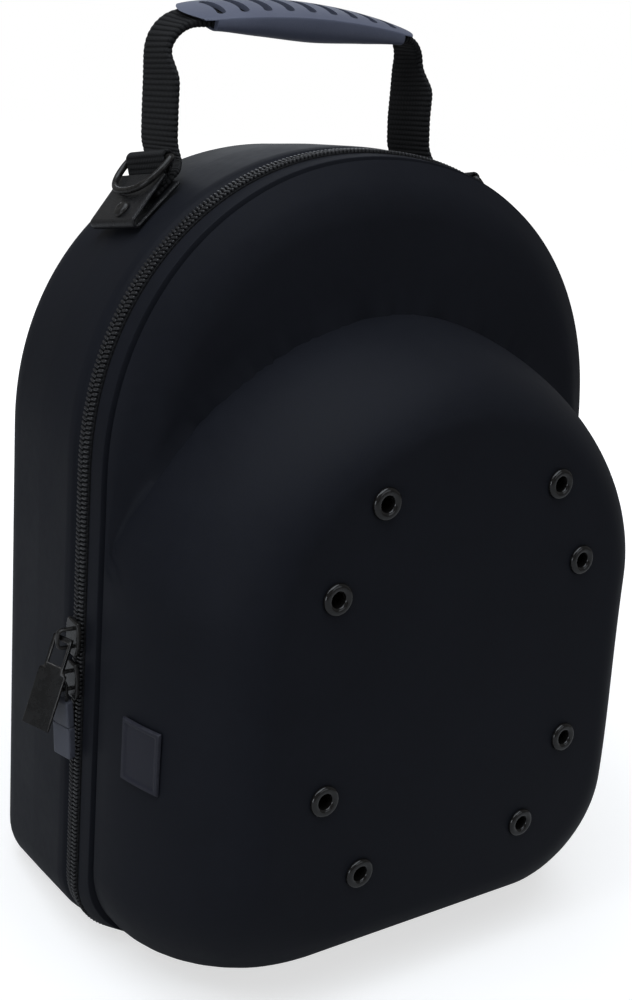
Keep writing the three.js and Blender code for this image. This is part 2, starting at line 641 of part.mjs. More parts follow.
// Half of the strap's centre line, from the seat under the tab to the middle of the grip, on the right side.
function strapStations() {
  const gripZ = GRIP.z;
  const bendEnd = STRAP.x - STRAP.bend;
  const stations = [];
  for (const up of [STRAP_SEAT.bottom, STRAP_SEAT.top, STRAP_SEAT.exit]) {
    const { x, y, z } = anchorPoint(1, up, STRAP_SEAT.out);
    stations.push({ x, y, z, slope: 0, fold: 0, tilt: 0, seated: true });
  }
  const { y: exitY, z: exitZ } = stations.at(-1);
  for (const { outward, above, lean } of STRAP_RISE) {
    const y = THREE.MathUtils.lerp(exitY, STRAP.gripY, lean);
    stations.push({ x: STRAP.x + outward, y, z: exitZ + above, slope: lean * GRIP.slope, fold: 0, tilt: 0 });
  }
  for (let step = 0; step <= STRAP_BEND.steps; step++) {
    const share = step / STRAP_BEND.steps;
    const turn = (Math.PI / 2) * share;
    stations.push({
      x: bendEnd + STRAP.bend * Math.cos(turn),
      y: STRAP.gripY + STRAP_BEND.shift * (1 - share),
      z: gripZ - STRAP.bend + STRAP.bend * Math.sin(turn),
      slope: GRIP.slope,
      fold: 1,
      tilt: share,
    });
  }
  for (let step = 1; step <= GRIP_STEPS; step++) {
    const x = bendEnd * (1 - step / GRIP_STEPS);
    const y = STRAP.gripY - gripLift(x) * Math.sin(radians(GRIP.tiltDeg));
    const z = gripZ + gripLift(x) * Math.cos(radians(GRIP.tiltDeg));
    stations.push({ x, y, z, slope: GRIP.slope, fold: 1, tilt: 1 });
  }
  return stations;
}

function handleStrap() {
  const right = strapStations();
  const left = right.slice(0, -1).map((s) => ({ ...s, x: -s.x }));
  const stations = [...left, ...[...right].reverse()].map((s) => ({ ...s, z: s.z + s.slope * s.x }));
  const sections = stations.map((s, i) => {
    const before = stations[Math.max(i - 1, 0)];
    const after = stations[Math.min(i + 1, stations.length - 1)];
    const side = Math.sign(s.x);
    const along = new THREE.Vector3(after.x - before.x, 0, after.z - before.z).normalize();
    const across = new THREE.Vector3(0, 1, 0).applyAxisAngle(along, radians(GRIP.tiltDeg) * s.tilt);
    if (s.seated) {
      along.copy(anchorUp(side)).multiplyScalar(-side);
      across.copy(anchorAcross(side));
    }
    const thick = new THREE.Vector3().crossVectors(along, across);
    const width = THREE.MathUtils.lerp(STRAP.width, STRAP_FOLDED.width, s.fold);
    const thickness = THREE.MathUtils.lerp(STRAP.thickness, STRAP_FOLDED.thickness, s.fold);
    const centre = new THREE.Vector3(s.x, s.y, s.z);
    const place = ([w, t]) => centre.clone().addScaledVector(across, w).addScaledVector(thick, t);
    return strapSection(width, thickness).map(place);
  });
  addPiece("handle_strap", skin(sections), "webbing");
}

// Solid bar along the arched grip, from a floor to a roof that follow the arch.
function archedBar(from, to, steps, width, floor, roof) {
  const rings = [];
  for (let step = 0; step <= steps; step++) {
    const x = THREE.MathUtils.lerp(from, to, step / steps);
    const low = floor + gripLift(x);
    const high = roof + gripLift(x);
    const w = width / 2;
    const corners = [[-w, low], [w, low], [w, high], [-w, high]];
    rings.push(corners.map(([y, z]) => new THREE.Vector3(x, y, z)));
  }
  return solidOf(skin(rings));
}

// Moulded grip: rounded sections along the handle, a channel for the strap and cross slots through its top.
function handleGrip() {
  const rings = GRIP_STATIONS.map(({ at, halfWidth, belly, rim, dome }) => {
    const x = (at * GRIP.length) / 2;
    const height = (p) => belly * p.belly + rim * p.rim + dome * p.dome;
    const profile = GRIP_PROFILE.map((p) => [halfWidth * p.across, height(p)]);
    const mirrored = profile.slice(0, -1).reverse().map(([v, w]) => [-v, w]);
    const past = Math.max(Math.abs(at) - GRIP_END.from, 0) / (1 - GRIP_END.from);
    const pull = Math.sign(at) * GRIP_END.round * past;
    const placed = ([v, w]) => new THREE.Vector3(x - pull * (v / halfWidth) ** 2, v, w + gripLift(x));
    return [...profile, ...mirrored].map(placed);
  });
  const body = solidOf(skin(rings));
  const half = GRIP.length / 2;
  const roof = GRIP_CHANNEL.height / 2;
  const cuts = [archedBar(-half - GAP, half + GAP, 2 * GRIP_STEPS, GRIP_CHANNEL.width, -roof, roof)];
  cuts.push(archedBar(-half - GAP, GRIP.openEnd - half, 1, CUT_REACH, -CUT_REACH, roof));
  cuts.push(archedBar(half - GRIP.openEnd, half + GAP, 1, CUT_REACH, -CUT_REACH, roof));
  for (let i = 0; i < GRIP_SLOTS.count; i++) {
    const x = (i - (GRIP_SLOTS.count - 1) / 2) * GRIP_SLOTS.pitch;
    const slot = new THREE.BoxGeometry(GRIP_SLOTS.width, GRIP_SLOTS.length, CUT_REACH);
    cuts.push(solidOf(slot.translate(x, 0, gripLift(x) + CUT_REACH / 2)));
  }
  const tilt = new THREE.Matrix4().makeRotationX(radians(GRIP.tiltDeg));
  const roll = new THREE.Matrix4().makeRotationY(-Math.atan(GRIP.slope));
  const place = new THREE.Matrix4().makeTranslation(0, STRAP.gripY, GRIP.z).multiply(roll).multiply(tilt);
  addPiece("handle_grip", carried(geometryOf(body.subtract(wasm.Manifold.union(cuts))), place), "grip");
}

// Frame of an anchor: local x up along the wall, y off the wall and z across the tab.
function anchorFrame(side) {
  const frame = new THREE.Matrix4().makeBasis(anchorUp(side), anchorOut(side), anchorAcross(side));
  return frame.setPosition(anchorPoint(side, 0, 0));
}

// Distance of the tab's upper layer off the wall, at its underside: it opens from the fold to its free end.
function tabUnderside(up) {
  const { leather, lower, foldGap, foldUp, upper, upperTop } = TAB;
  return THREE.MathUtils.mapLinear(up, foldUp, upperTop, lower + leather + foldGap, upper);
}

// Leather tab: a strip folded round at its lower end, both layers towards the top of the arch.
function tabShape() {
  const { leather, lower, foldGap, foldUp, lowerTop, upperTop } = TAB;
  const inner = foldGap / 2;
  const middle = lower + leather + inner;
  const shape = new THREE.Shape();
  shape.moveTo(upperTop, tabUnderside(upperTop) + leather);
  shape.lineTo(foldUp, tabUnderside(foldUp) + leather);
  shape.absarc(foldUp, middle, inner + leather, Math.PI / 2, (3 * Math.PI) / 2, false);
  shape.lineTo(lowerTop, lower);
  shape.lineTo(lowerTop, lower + leather);
  shape.lineTo(foldUp, lower + leather);
  shape.absarc(foldUp, middle, inner, (3 * Math.PI) / 2, Math.PI / 2, true);
  shape.lineTo(upperTop, tabUnderside(upperTop));
  shape.closePath();
  return shape;
}

// Webbing loop: a tongue under the tab that rises to an eye round the D-ring's bar.
function loopGeometry(side) {
  const { webbing, seat, bottom, bendUp } = LOOP;
  const { up, out, radius, hole, overlap } = LOOP_EYE;
  const low = seat - webbing / 2;
  const high = seat + webbing / 2;
  const tongue = new THREE.Shape();
  tongue.moveTo(bottom, low);
  tongue.lineTo(bendUp, low);
  tongue.lineTo(up + webbing / 2, out - radius + overlap);
  tongue.lineTo(up - webbing / 2, out - hole - overlap);
  tongue.lineTo(bendUp, high);
  tongue.lineTo(bottom, high);
  tongue.closePath();
  const eye = new THREE.Shape().absarc(up, out, radius, 0, 2 * Math.PI, false);
  eye.holes.push(new THREE.Path().absarc(up, out, hole, 0, 2 * Math.PI, true));
  const joined = solidOf(flatExtrusion(tongue, LOOP.width)).add(solidOf(flatExtrusion(eye, LOOP.width, 8)));
  return carried(geometryOf(joined).translate(0, 0, LOOP.across - LOOP.width / 2), anchorFrame(side));
}

// D-ring: its bar in the loop's eye along the depth, its bow hanging down over the tab.
function dRingGeometry(side) {
  const half = D_RING.bar / 2;
  const { bar, bow, wire: sides } = D_RING_STEPS;
  const { depth, shoulder, spread, power } = D_RING;
  const spine = [];
  for (let i = 0; i <= bar; i++) spine.push([THREE.MathUtils.lerp(-half, half, i / bar), 0]);
  for (let i = 0; i <= bow; i++) {
    const turn = (Math.PI * i) / bow;
    const across = (half + spread) * signedPower(Math.cos(turn), 2 / power);
    spine.push([across, shoulder + (depth - shoulder) * signedPower(Math.sin(turn), 2 / power)]);
  }
  const fall = { up: Math.cos(radians(D_RING.tiltDeg)), out: Math.sin(radians(D_RING.tiltDeg)) };
  const centre = spine.map(([y, drop]) =>
    anchorPoint(side, LOOP_EYE.up - drop * fall.up, LOOP_EYE.out - drop * fall.out, y + LOOP.across),
  );
  const out = anchorOut(side);
  const rings = centre.map((p, i) => {
    const before = centre[(i + centre.length - 1) % centre.length];
    const after = centre[(i + 1) % centre.length];
    const along = after.clone().sub(before).normalize();
    const across = new THREE.Vector3().crossVectors(along, out).normalize();
    return Array.from({ length: sides }, (_, k) => {
      const turn = (2 * Math.PI * k) / sides;
      const rim = p.clone().addScaledVector(out, D_RING.wire * Math.cos(turn));
      return rim.addScaledVector(across, D_RING.wire * Math.sin(turn));
    });
  });
  const points = rings.flat();
  const faces = [];
  for (let i = 0; i < rings.length; i++) {
    const next = (i + 1) % rings.length;
    for (let k = 0; k < sides; k++) {
      const turn = (k + 1) % sides;
      faces.push([i * sides + k, i * sides + turn, next * sides + turn]);
      faces.push([i * sides + k, next * sides + turn, next * sides + k]);
    }
  }
  return closedGeometry(points, faces);
}

// Domed rivet head on the tab.
function rivetGeometry(side) {
  const { radius, height } = RIVET;
  const profile = [
    new THREE.Vector2(0, 0),
    new THREE.Vector2(radius, 0),
    new THREE.Vector2(radius, height * RIVET_DOME.edge),
    new THREE.Vector2(radius * RIVET_DOME.radius, height * RIVET_DOME.height),
    new THREE.Vector2(0, height),
  ];
  const head = new THREE.LatheGeometry(profile, 14);
  const face = (up) => anchorPoint(side, up, tabUnderside(up) + TAB.leather, RIVET.across);
  const along = face(RIVET.up + SLOPE_STEP).sub(face(RIVET.up - SLOPE_STEP)).normalize();
  const out = anchorOut(side);
  out.addScaledVector(along, -out.dot(along)).normalize();
  const seat = face(RIVET.up).addScaledVector(out, GAP);
  const turn = new THREE.Quaternion().setFromUnitVectors(new THREE.Vector3(0, 1, 0), out);
  return carried(head, new THREE.Matrix4().compose(seat, turn, new THREE.Vector3(1, 1, 1)));
}

function anchors() {
  for (const [side, label] of [[-1, "left"], [1, "right"]]) {
    const tab = flatExtrusion(tabShape(), TAB.width).translate(0, 0, TAB.across - TAB.width / 2);
    addPiece(`anchor_tab_${label}`, carried(tab, anchorFrame(side)), "leather");
    addPiece(`anchor_rivet_${label}`, rivetGeometry(side), "blackMetal");
    addPiece(`ring_loop_${label}`, loopGeometry(side), "webbing");
    addPiece(`d_ring_${label}`, dRingGeometry(side), "blackMetal");
  }
}

function eyeletPlaces() {
  return EYELET_PLACES.flatMap(({ x, z }) => [{ x: -x, z }, { x, z }]);
}

// Frame on the front surface whose y axis is the outward normal.
function frontFrame(x, z) {
  const turn = new THREE.Quaternion().setFromUnitVectors(new THREE.Vector3(0, 1, 0), frontNormal(x, z));
  return new THREE.Matrix4().compose(frontPoint(x, z), turn, new THREE.Vector3(1, 1, 1));
}

function eyelets() {
  const { flange, hole, barrel, rise, inside, edge, brow } = EYELET;
  const seat = GAP;
  const profile = [
    new THREE.Vector2(hole, -WALL - inside),
    new THREE.Vector2(barrel, -WALL - inside),
    new THREE.Vector2(barrel, seat),
    new THREE.Vector2(flange, seat),
    new THREE.Vector2(flange - edge, seat + rise * brow),
    new THREE.Vector2((flange + hole) / 2, seat + rise),
    new THREE.Vector2(hole + edge, seat + rise * brow),
    new THREE.Vector2(hole, -WALL - inside),
  ];
  eyeletPlaces().forEach(({ x, z }, i) => {
    const ring = new THREE.LatheGeometry(profile, 10);
    addPiece(`eyelet_${i + 1}`, carried(ring, frontFrame(x, z)), "blackMetal");
  });
}

// Rubber patch draped on the left side of the front shell.
function sidePatch() {
  const half = HALF_WIDTH - LIP.inset;
  const face = faceDepth((PATCH.bottomZ + PATCH.topZ) / 2);
  const wallX = (y) => {
    const share = (LIP.y - y) / face;
    return -(half - CROWN.radius * (1 - (1 - share ** CROWN.power) ** (1 / CROWN.power)));
  };
  const sections = [];
  for (let column = 0; column <= PATCH.columns; column++) {
    const y = THREE.MathUtils.lerp(PATCH.nearY, PATCH.farY, column / PATCH.columns);
    const x = wallX(y);
    const run = wallX(y + SLOPE_STEP) - wallX(y - SLOPE_STEP);
    const along = new THREE.Vector3(run, 2 * SLOPE_STEP, 0).normalize();
    const out = new THREE.Vector3(-along.y, along.x, 0);
    const near = new THREE.Vector3(x, y, 0).addScaledVector(out, 2 * GAP);
    const far = near.clone().addScaledVector(out, PATCH.thickness);
    sections.push([
      new THREE.Vector3(near.x, near.y, PATCH.bottomZ),
      new THREE.Vector3(far.x, far.y, PATCH.bottomZ),
      new THREE.Vector3(far.x, far.y, PATCH.topZ),
      new THREE.Vector3(near.x, near.y, PATCH.topZ),
    ]);
  }
  addPiece("side_patch", skin(sections), "patch");
}

addPiece("front_shell", frontShell(), "shell");
addPiece("rear_shell", rearShell(), "shell");
zip();
slider("zip_slider_upper", SLIDER_Z.upper, false);
slider("zip_slider_lower", SLIDER_Z.lower, true);
flatPull();
mouldedPull();
handleStrap();
handleGrip();
anchors();
eyelets();
sidePatch();

export default part;
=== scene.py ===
"""Dressed model of a hard-shell cap carrier.

Two moulded foam shells close on a coil zip, and a webbing handle hangs from an anchor on each shoulder.
Meshes are drawn in millimetres about the zip plane, then set into the frame in metres.
"""
import logging
import math
from collections.abc import Callable, Sequence
from dataclasses import dataclass, field, replace
from enum import Enum

import bmesh
import bpy
from mathutils import Matrix, Quaternion, Vector


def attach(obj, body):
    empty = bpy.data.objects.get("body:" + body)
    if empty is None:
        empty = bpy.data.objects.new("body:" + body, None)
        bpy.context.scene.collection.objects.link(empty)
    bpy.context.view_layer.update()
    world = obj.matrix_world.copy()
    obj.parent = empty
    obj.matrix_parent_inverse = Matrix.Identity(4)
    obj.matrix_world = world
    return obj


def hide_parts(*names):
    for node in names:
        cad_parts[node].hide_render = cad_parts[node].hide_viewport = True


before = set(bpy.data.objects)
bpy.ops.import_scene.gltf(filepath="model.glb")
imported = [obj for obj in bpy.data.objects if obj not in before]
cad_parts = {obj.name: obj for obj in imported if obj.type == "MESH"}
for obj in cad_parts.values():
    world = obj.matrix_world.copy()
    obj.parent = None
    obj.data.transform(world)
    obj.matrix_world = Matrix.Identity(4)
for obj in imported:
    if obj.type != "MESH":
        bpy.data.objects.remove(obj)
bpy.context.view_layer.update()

LOG = logging.getLogger("cap_carrier")
Colour = tuple[float, float, float]
Place = tuple[float, float, float]
Shape = bmesh.types.BMesh
Vert = bmesh.types.BMVert
Socket = bpy.types.NodeSocket
ShaderTree = bpy.types.NodeTree

ZIP_Y = -36.0
MILLIMETRE = 0.001
TO_FRAME = Matrix.Scale(MILLIMETRE, 4) @ Matrix.Translation((0.0, ZIP_Y, 0.0))
GAP = 0.3
WALL = 4.5
SLOPE_STEP = 0.5
RIM_LAYER = "rim"
WIDE_FACE = 30.0
INSET_SHARE = 0.6
UV_LAYER = "cloth"
SHARP_DEG = 38.0
ROUND_SHARP_DEG = 60.0
FULL_WEAR_AND_GLINT_BEND = 0.8
MERGE_DISTANCE = 0.001
LEAST_RUN = 1e-6
LEAST_STRETCH = 0.01
AXIS_X = Vector((1.0, 0.0, 0.0))
AXIS_Y = Vector((0.0, 1.0, 0.0))
AXIS_Z = Vector((0.0, 0.0, 1.0))


class Body(Enum):
    """The bodies of the frame that pieces ride on."""

    CASE = "case"
    RING_LEFT = "ring_left"
    RING_RIGHT = "ring_right"
    PULL_UPPER = "pull_upper"
    PULL_LOWER = "pull_lower"


class Side(Enum):
    """The two shoulders of the case."""

    LEFT = -1
    RIGHT = 1

    @property
    def label(self) -> str:
        """The side's name as nodes carry it."""
        return self.name.lower()


class Relief(Enum):
    """Fine relief of a finish."""

    FINE = "fine moulded grain"
    PEBBLE = "pebbled leather"
    RIBBED = "ribbed webbing"


@dataclass(frozen=True)
class Finish:
    """Look of one finish and the record's slot that it belongs to."""

    name: str
    slot: str
    colour: Colour
    second: Colour
    roughness: tuple[float, float]
    mottle_scale: float
    relief_depth: float
    relief: Relief = Relief.FINE
    relief_scale: float = 0.0
    specular: float = 0.5
    coat: float = 0.0
    coat_roughness: float = 0.2
    sheen: float = 0.0
    wear_and_glint: float = 0.0
    wear_and_glint_colour: Colour = (0.3, 0.3, 0.32)
    yarn_pitch: float = 0.9


SHELL = Finish(
    name="charcoal_skin",
    slot="shell",
    colour=(0.0082, 0.009, 0.0122),
    second=(0.0102, 0.0111, 0.015),
    roughness=(0.46, 0.56),
    mottle_scale=28.0,
    relief_scale=1500.0,
    relief_depth=0.00004,
    specular=0.06,
    sheen=0.01,
)
TAPE_CLOTH = Finish(
    name="black_tape",
    slot="tape",
    relief=Relief.RIBBED,
    colour=(0.006, 0.006, 0.007),
    second=(0.013, 0.013, 0.014),
    roughness=(0.75, 0.9),
    mottle_scale=60.0,
    relief_depth=0.00015,
    specular=0.15,
    yarn_pitch=0.7,
)
COIL = Finish(
    name="black_coil",
    slot="coil",
    colour=(0.008, 0.008, 0.009),
    second=(0.014, 0.014, 0.015),
    roughness=(0.28, 0.4),
    mottle_scale=120.0,
    relief_scale=2500.0,
    relief_depth=0.00003,
    specular=0.35,
    wear_and_glint=0.35,
    wear_and_glint_colour=(0.035, 0.035, 0.038),
)
DARK_METAL = Finish(
    name="black_lacquer",
    slot="dark_metal",
    colour=(0.0045, 0.0042, 0.004),
    second=(0.008, 0.0074, 0.007),
    roughness=(0.2, 0.34),
    mottle_scale=240.0,
    relief_scale=900.0,
    relief_depth=0.00003,
    specular=0.22,
    coat=0.12,
    coat_roughness=0.12,
    # Paler edges: rubbed lacquer, and also a painted highlight along the edges.
    wear_and_glint=0.3,
    wear_and_glint_colour=(0.09, 0.085, 0.08),
)
POLISHED_RIM = replace(
    DARK_METAL,
    name="polished_rim",
    roughness=(0.08, 0.14),
    specular=0.45,
    coat=0.0,
    # Faint paler edges: rubbed wear and a painted highlight along the edges.
    wear_and_glint=0.1,
)
# Finish of the flat pull: its edges are painted much paler, partly rubbed wear and partly a painted
# highlight along them.
WORN_GLINTING_PLATE = replace(
    DARK_METAL,
    name="worn_glinting_plate",
    wear_and_glint=0.9,
    wear_and_glint_colour=(0.16, 0.15, 0.14),
)
PULL_RUBBER = Finish(
    name="grey_rubber",
    slot="pull_rubber",
    colour=(0.05, 0.053, 0.07),
    second=(0.066, 0.07, 0.09),
    roughness=(0.5, 0.65),
    mottle_scale=180.0,
    relief_scale=1800.0,
    relief_depth=0.00006,
    wear_and_glint=0.4,
    wear_and_glint_colour=(0.16, 0.165, 0.19),
)
WEBBING = Finish(
    name="black_webbing",
    slot="webbing",
    relief=Relief.RIBBED,
    colour=(0.005, 0.005, 0.0055),
    second=(0.016, 0.016, 0.0165),
    roughness=(0.7, 0.88),
    mottle_scale=70.0,
    relief_depth=0.0004,
    specular=0.14,
    sheen=0.03,
    yarn_pitch=1.1,
)
GRIP_RUBBER = Finish(
    name="slate_rubber",
    slot="grip_rubber",
    colour=(0.085, 0.094, 0.135),
    second=(0.1, 0.11, 0.155),
    roughness=(0.42, 0.55),
    mottle_scale=50.0,
    relief_scale=1600.0,
    relief_depth=0.00005,
    specular=0.3,
    sheen=0.03,
)
LEATHER = Finish(
    name="coated_leather",
    slot="leather",
    relief=Relief.PEBBLE,
    colour=(0.0055, 0.0055, 0.0062),
    second=(0.009, 0.009, 0.01),
    roughness=(0.26, 0.4),
    mottle_scale=90.0,
    relief_scale=1100.0,
    relief_depth=0.00016,
    specular=0.35,
    coat=0.15,
    coat_roughness=0.25,
    wear_and_glint=0.3,
    wear_and_glint_colour=(0.03, 0.03, 0.032),
)
PATCH_RUBBER = Finish(
    name="patch_rubber",
    slot="patch",
    colour=(0.0135, 0.0138, 0.0205),
    second=(0.0175, 0.0178, 0.026),
    roughness=(0.42, 0.55),
    mottle_scale=120.0,
    relief_scale=1800.0,
    relief_depth=0.00005,
    specular=0.2,
    wear_and_glint=0.35,
    wear_and_glint_colour=(0.05, 0.05, 0.06),
)


class NodeTree:
    """Shader tree with short calls to add and join nodes."""

    def __init__(self, tree: ShaderTree) -> None:
        """Takes an empty tree to work on.

        Args:
            tree: the shader tree of a material or of a node group.
        """
        self.tree = tree

    def add(self, kind: str, **settings: object) -> bpy.types.Node:
        """Adds a node.

        Args:
            kind: the node's type.
            settings: attributes to set on it.

        Returns:
            The new node.
        """
        node = self.tree.nodes.new(kind)
        for name, value in settings.items():
            setattr(node, name, value)
        return node

    def feed(self, socket: Socket, value: object) -> None:
        """Joins a socket to an output, or sets its plain value."""
        if isinstance(value, Socket):
            self.tree.links.new(value, socket)
        else:
            socket.default_value = value

    def math(self, operation: str, *values: object) -> Socket:
        """Adds a Math node.

        Args:
            operation: the node's operation.
            values: its inputs, as sockets or numbers.

        Returns:
            The node's output.
        """
        node = self.add("ShaderNodeMath", operation=operation)
        for socket, value in zip(node.inputs, values):
            self.feed(socket, value)
        return node.outputs[0]

    def noise(self, vector: Socket, scale: object, detail: float) -> Socket:
        """Adds a Noise texture and returns its value."""
        node = self.add("ShaderNodeTexNoise")
        self.feed(node.inputs["Vector"], vector)
        self.feed(node.inputs["Scale"], scale)
        node.inputs["Detail"].default_value = detail
        return node.outputs[0]

    def cells(self, feature: str, vector: Socket, scale: object) -> Socket:
        """Adds a Voronoi texture and returns its distance."""
        node = self.add("ShaderNodeTexVoronoi", feature=feature)
        self.feed(node.inputs["Vector"], vector)
        self.feed(node.inputs["Scale"], scale)
        return node.outputs[0]

    def ramp(self, value: Socket, low: object, high: object, to: tuple) -> Socket:
        """Maps a value from one range to another, held at its ends.

        Args:
            value: the value to map.
            low: the start of its range.
            high: the end of its range.
            to: what the start and the end become.

        Returns:
            The mapped value.
        """
        node = self.add("ShaderNodeMapRange", clamp=True)
        self.feed(node.inputs["Value"], value)
        self.feed(node.inputs["From Min"], low)
        self.feed(node.inputs["From Max"], high)
        self.feed(node.inputs["To Min"], to[0])
        self.feed(node.inputs["To Max"], to[1])
        return node.outputs[0]

    def mixed(self, share: object, first: object, second: object) -> Socket:
        """Mixes two colours by a share and returns the result."""
        node = self.add("ShaderNodeMix", data_type="RGBA")
        self.feed(node.inputs["Factor"], share)
        self.feed(node.inputs["A"], first)
        self.feed(node.inputs["B"], second)
        return node.outputs["Result"]


class EffectBook:
    """Shader node groups shared by the finishes, each built once."""

    GRAIN_INPUTS = {"Vector": "NodeSocketVector", "Scale": "NodeSocketFloat"}
    BROAD_DETAIL = 3.0
    FINE_DETAIL = 4.0
    FINE_TIMES = 9.0
    FINE_SHARE = 0.35
    CLOUD_RANGE = (0.32, 0.68)
    UNEVEN_TIMES = 0.22
    UNEVEN_SHARE = 0.6
    DIMPLE_SHARE = 0.5
    PEBBLE_EDGE = 0.22
    PEBBLE_SHARE = 0.4
    RIPPLE_TIMES = 0.12
    RIPPLE_DETAIL = 2.0
    RIPPLE_SHARE = 0.7
    YARN_SHARE = 0.45
    YARN_SHADING_RANGE = (0.25, 0.95)
    SPOT_RANGE = (0.35, 0.62)
    LEAST_SPOT = 0.25

    def __init__(self) -> None:
        """Starts with no group built."""
        self.groups: dict[str, ShaderTree] = {}

    def group(
        self, name: str, inputs: dict[str, str], outputs: Sequence[str], draw: Callable
    ) -> ShaderTree:
        """Gives a group, built at its first use.

        Args:
            name: the group's name.
            inputs: each input's name and socket type.
            outputs: names of the value outputs.
            draw: function that lays the nodes between the sockets.

        Returns:
            The group's tree.
        """
        if name not in self.groups:
            tree = bpy.data.node_groups.new(name, "ShaderNodeTree")
            for label, kind in inputs.items():
                tree.interface.new_socket(name=label, in_out="INPUT", socket_type=kind)
            for label in outputs:
                tree.interface.new_socket(name=label, in_out="OUTPUT", socket_type="NodeSocketFloat")
            nodes = NodeTree(tree)
            source = nodes.add("NodeGroupInput").outputs
            target = nodes.add("NodeGroupOutput").inputs
            draw(nodes, source, target)
            self.groups[name] = tree
        return self.groups[name]

    def mottle(self) -> ShaderTree:
        """Cloudy variation of a surface, from 0 to 1."""

        def draw(nodes: NodeTree, source: object, target: object) -> None:
            """Lays broad and fine noise over each other."""
            broad = nodes.noise(source["Vector"], source["Scale"], self.BROAD_DETAIL)
            fine_scale = nodes.math("MULTIPLY", source["Scale"], self.FINE_TIMES)
            fine = nodes.noise(source["Vector"], fine_scale, self.FINE_DETAIL)
            base = nodes.math("MULTIPLY", broad, 1.0 - self.FINE_SHARE)
            blend = nodes.math("MULTIPLY_ADD", fine, self.FINE_SHARE, base)
            nodes.feed(target["Value"], nodes.ramp(blend, *self.CLOUD_RANGE, (0.0, 1.0)))

        return self.group("mottle", self.GRAIN_INPUTS, ["Value"], draw)

    def skin_grain(self) -> ShaderTree:
        """Fine moulded grain: small rounded dimples with a broader unevenness."""

        def draw(nodes: NodeTree, source: object, target: object) -> None:
            """Lays dimples over noise."""
            dimples = nodes.cells("SMOOTH_F1", source["Vector"], source["Scale"])
            broad = nodes.math("MULTIPLY", source["Scale"], self.UNEVEN_TIMES)
            uneven = nodes.noise(source["Vector"], broad, self.BROAD_DETAIL)
            base = nodes.math("MULTIPLY", dimples, self.DIMPLE_SHARE)
            nodes.feed(target["Height"], nodes.math("MULTIPLY_ADD", uneven, self.UNEVEN_SHARE, base))

        return self.group("skin_grain", self.GRAIN_INPUTS, ["Height"], draw)

    def leather_grain(self) -> ShaderTree:
        """Pebbles parted by creases."""

        def draw(nodes: NodeTree, source: object, target: object) -> None:
            """Raises each cell from its creased edge."""
            cells = nodes.cells("DISTANCE_TO_EDGE", source["Vector"], source["Scale"])
            pebble = nodes.ramp(cells, 0.0, self.PEBBLE_EDGE, (0.0, 1.0))
            broad = nodes.math("MULTIPLY", source["Scale"], self.RIPPLE_TIMES)
            ripple = nodes.noise(source["Vector"], broad, self.RIPPLE_DETAIL)
            low = nodes.math("MULTIPLY", pebble, self.PEBBLE_SHARE)
            nodes.feed(target["Height"], nodes.math("MULTIPLY_ADD", ripple, self.RIPPLE_SHARE, low))

        return self.group("leather_grain", self.GRAIN_INPUTS, ["Height"], draw)

    def ribbed_weave(self) -> ShaderTree:
        """Cross ribs over lengthwise yarns, on the cloth's own map in millimetres."""

        def draw(nodes: NodeTree, source: object, target: object) -> None:
            """Shifts the yarns by half a pitch at each rib."""
            place = nodes.add("ShaderNodeSeparateXYZ")
            nodes.feed(place.inputs[0], source["Vector"])
            across = nodes.math("DIVIDE", place.outputs["X"], source["Yarn Pitch"])
            along = nodes.math("DIVIDE", place.outputs["Y"], source["Rib Pitch"])
            shift = nodes.math("MULTIPLY", nodes.math("FLOOR", along), 0.5)
            yarn = nodes.math("PINGPONG", nodes.math("ADD", across, shift), 0.5)
            rib = nodes.math("SINE", nodes.math("MULTIPLY", nodes.math("FRACT", along), math.pi))
            yarn_round = nodes.math("SINE", nodes.math("MULTIPLY", yarn, math.pi))
            swell = nodes.math("MULTIPLY_ADD", yarn_round, self.YARN_SHARE, 1.0 - self.YARN_SHARE)
            height = nodes.math("MULTIPLY", swell, rib)
            nodes.feed(target["Height"], height)
            # This mask paints light and shade into the cloth's colour: paler on the raised yarns, darker in
            # the hollows between them.
            nodes.feed(target["Yarn Shading"], nodes.ramp(height, *self.YARN_SHADING_RANGE, (0.0, 1.0)))

        inputs = {name: "NodeSocketFloat" for name in ("Rib Pitch", "Yarn Pitch")}
        inputs["Vector"] = "NodeSocketVector"
        return self.group("ribbed_weave", inputs, ["Height", "Yarn Shading"], draw)

    def edge_wear_and_glint(self) -> ShaderTree:
        """Rubbed spots along outer edges, from 0 to 1; on the dark metal they also stand for a painted
        highlight along the edges.
        """

        def draw(nodes: NodeTree, source: object, target: object) -> None:
            """Breaks the edge mask up with noise."""
            rim = nodes.add("ShaderNodeAttribute", attribute_name=RIM_LAYER)
            spots = nodes.noise(source["Vector"], source["Scale"], self.FINE_DETAIL)
            patchy = nodes.ramp(spots, *self.SPOT_RANGE, (self.LEAST_SPOT, 1.0))
            broken = nodes.math("MULTIPLY", rim.outputs["Fac"], patchy)
            nodes.feed(target["Mask"], nodes.math("MULTIPLY", broken, source["Amount"]))

        inputs = {**self.GRAIN_INPUTS, "Amount": "NodeSocketFloat"}
        return self.group("edge_wear_and_glint", inputs, ["Mask"], draw)


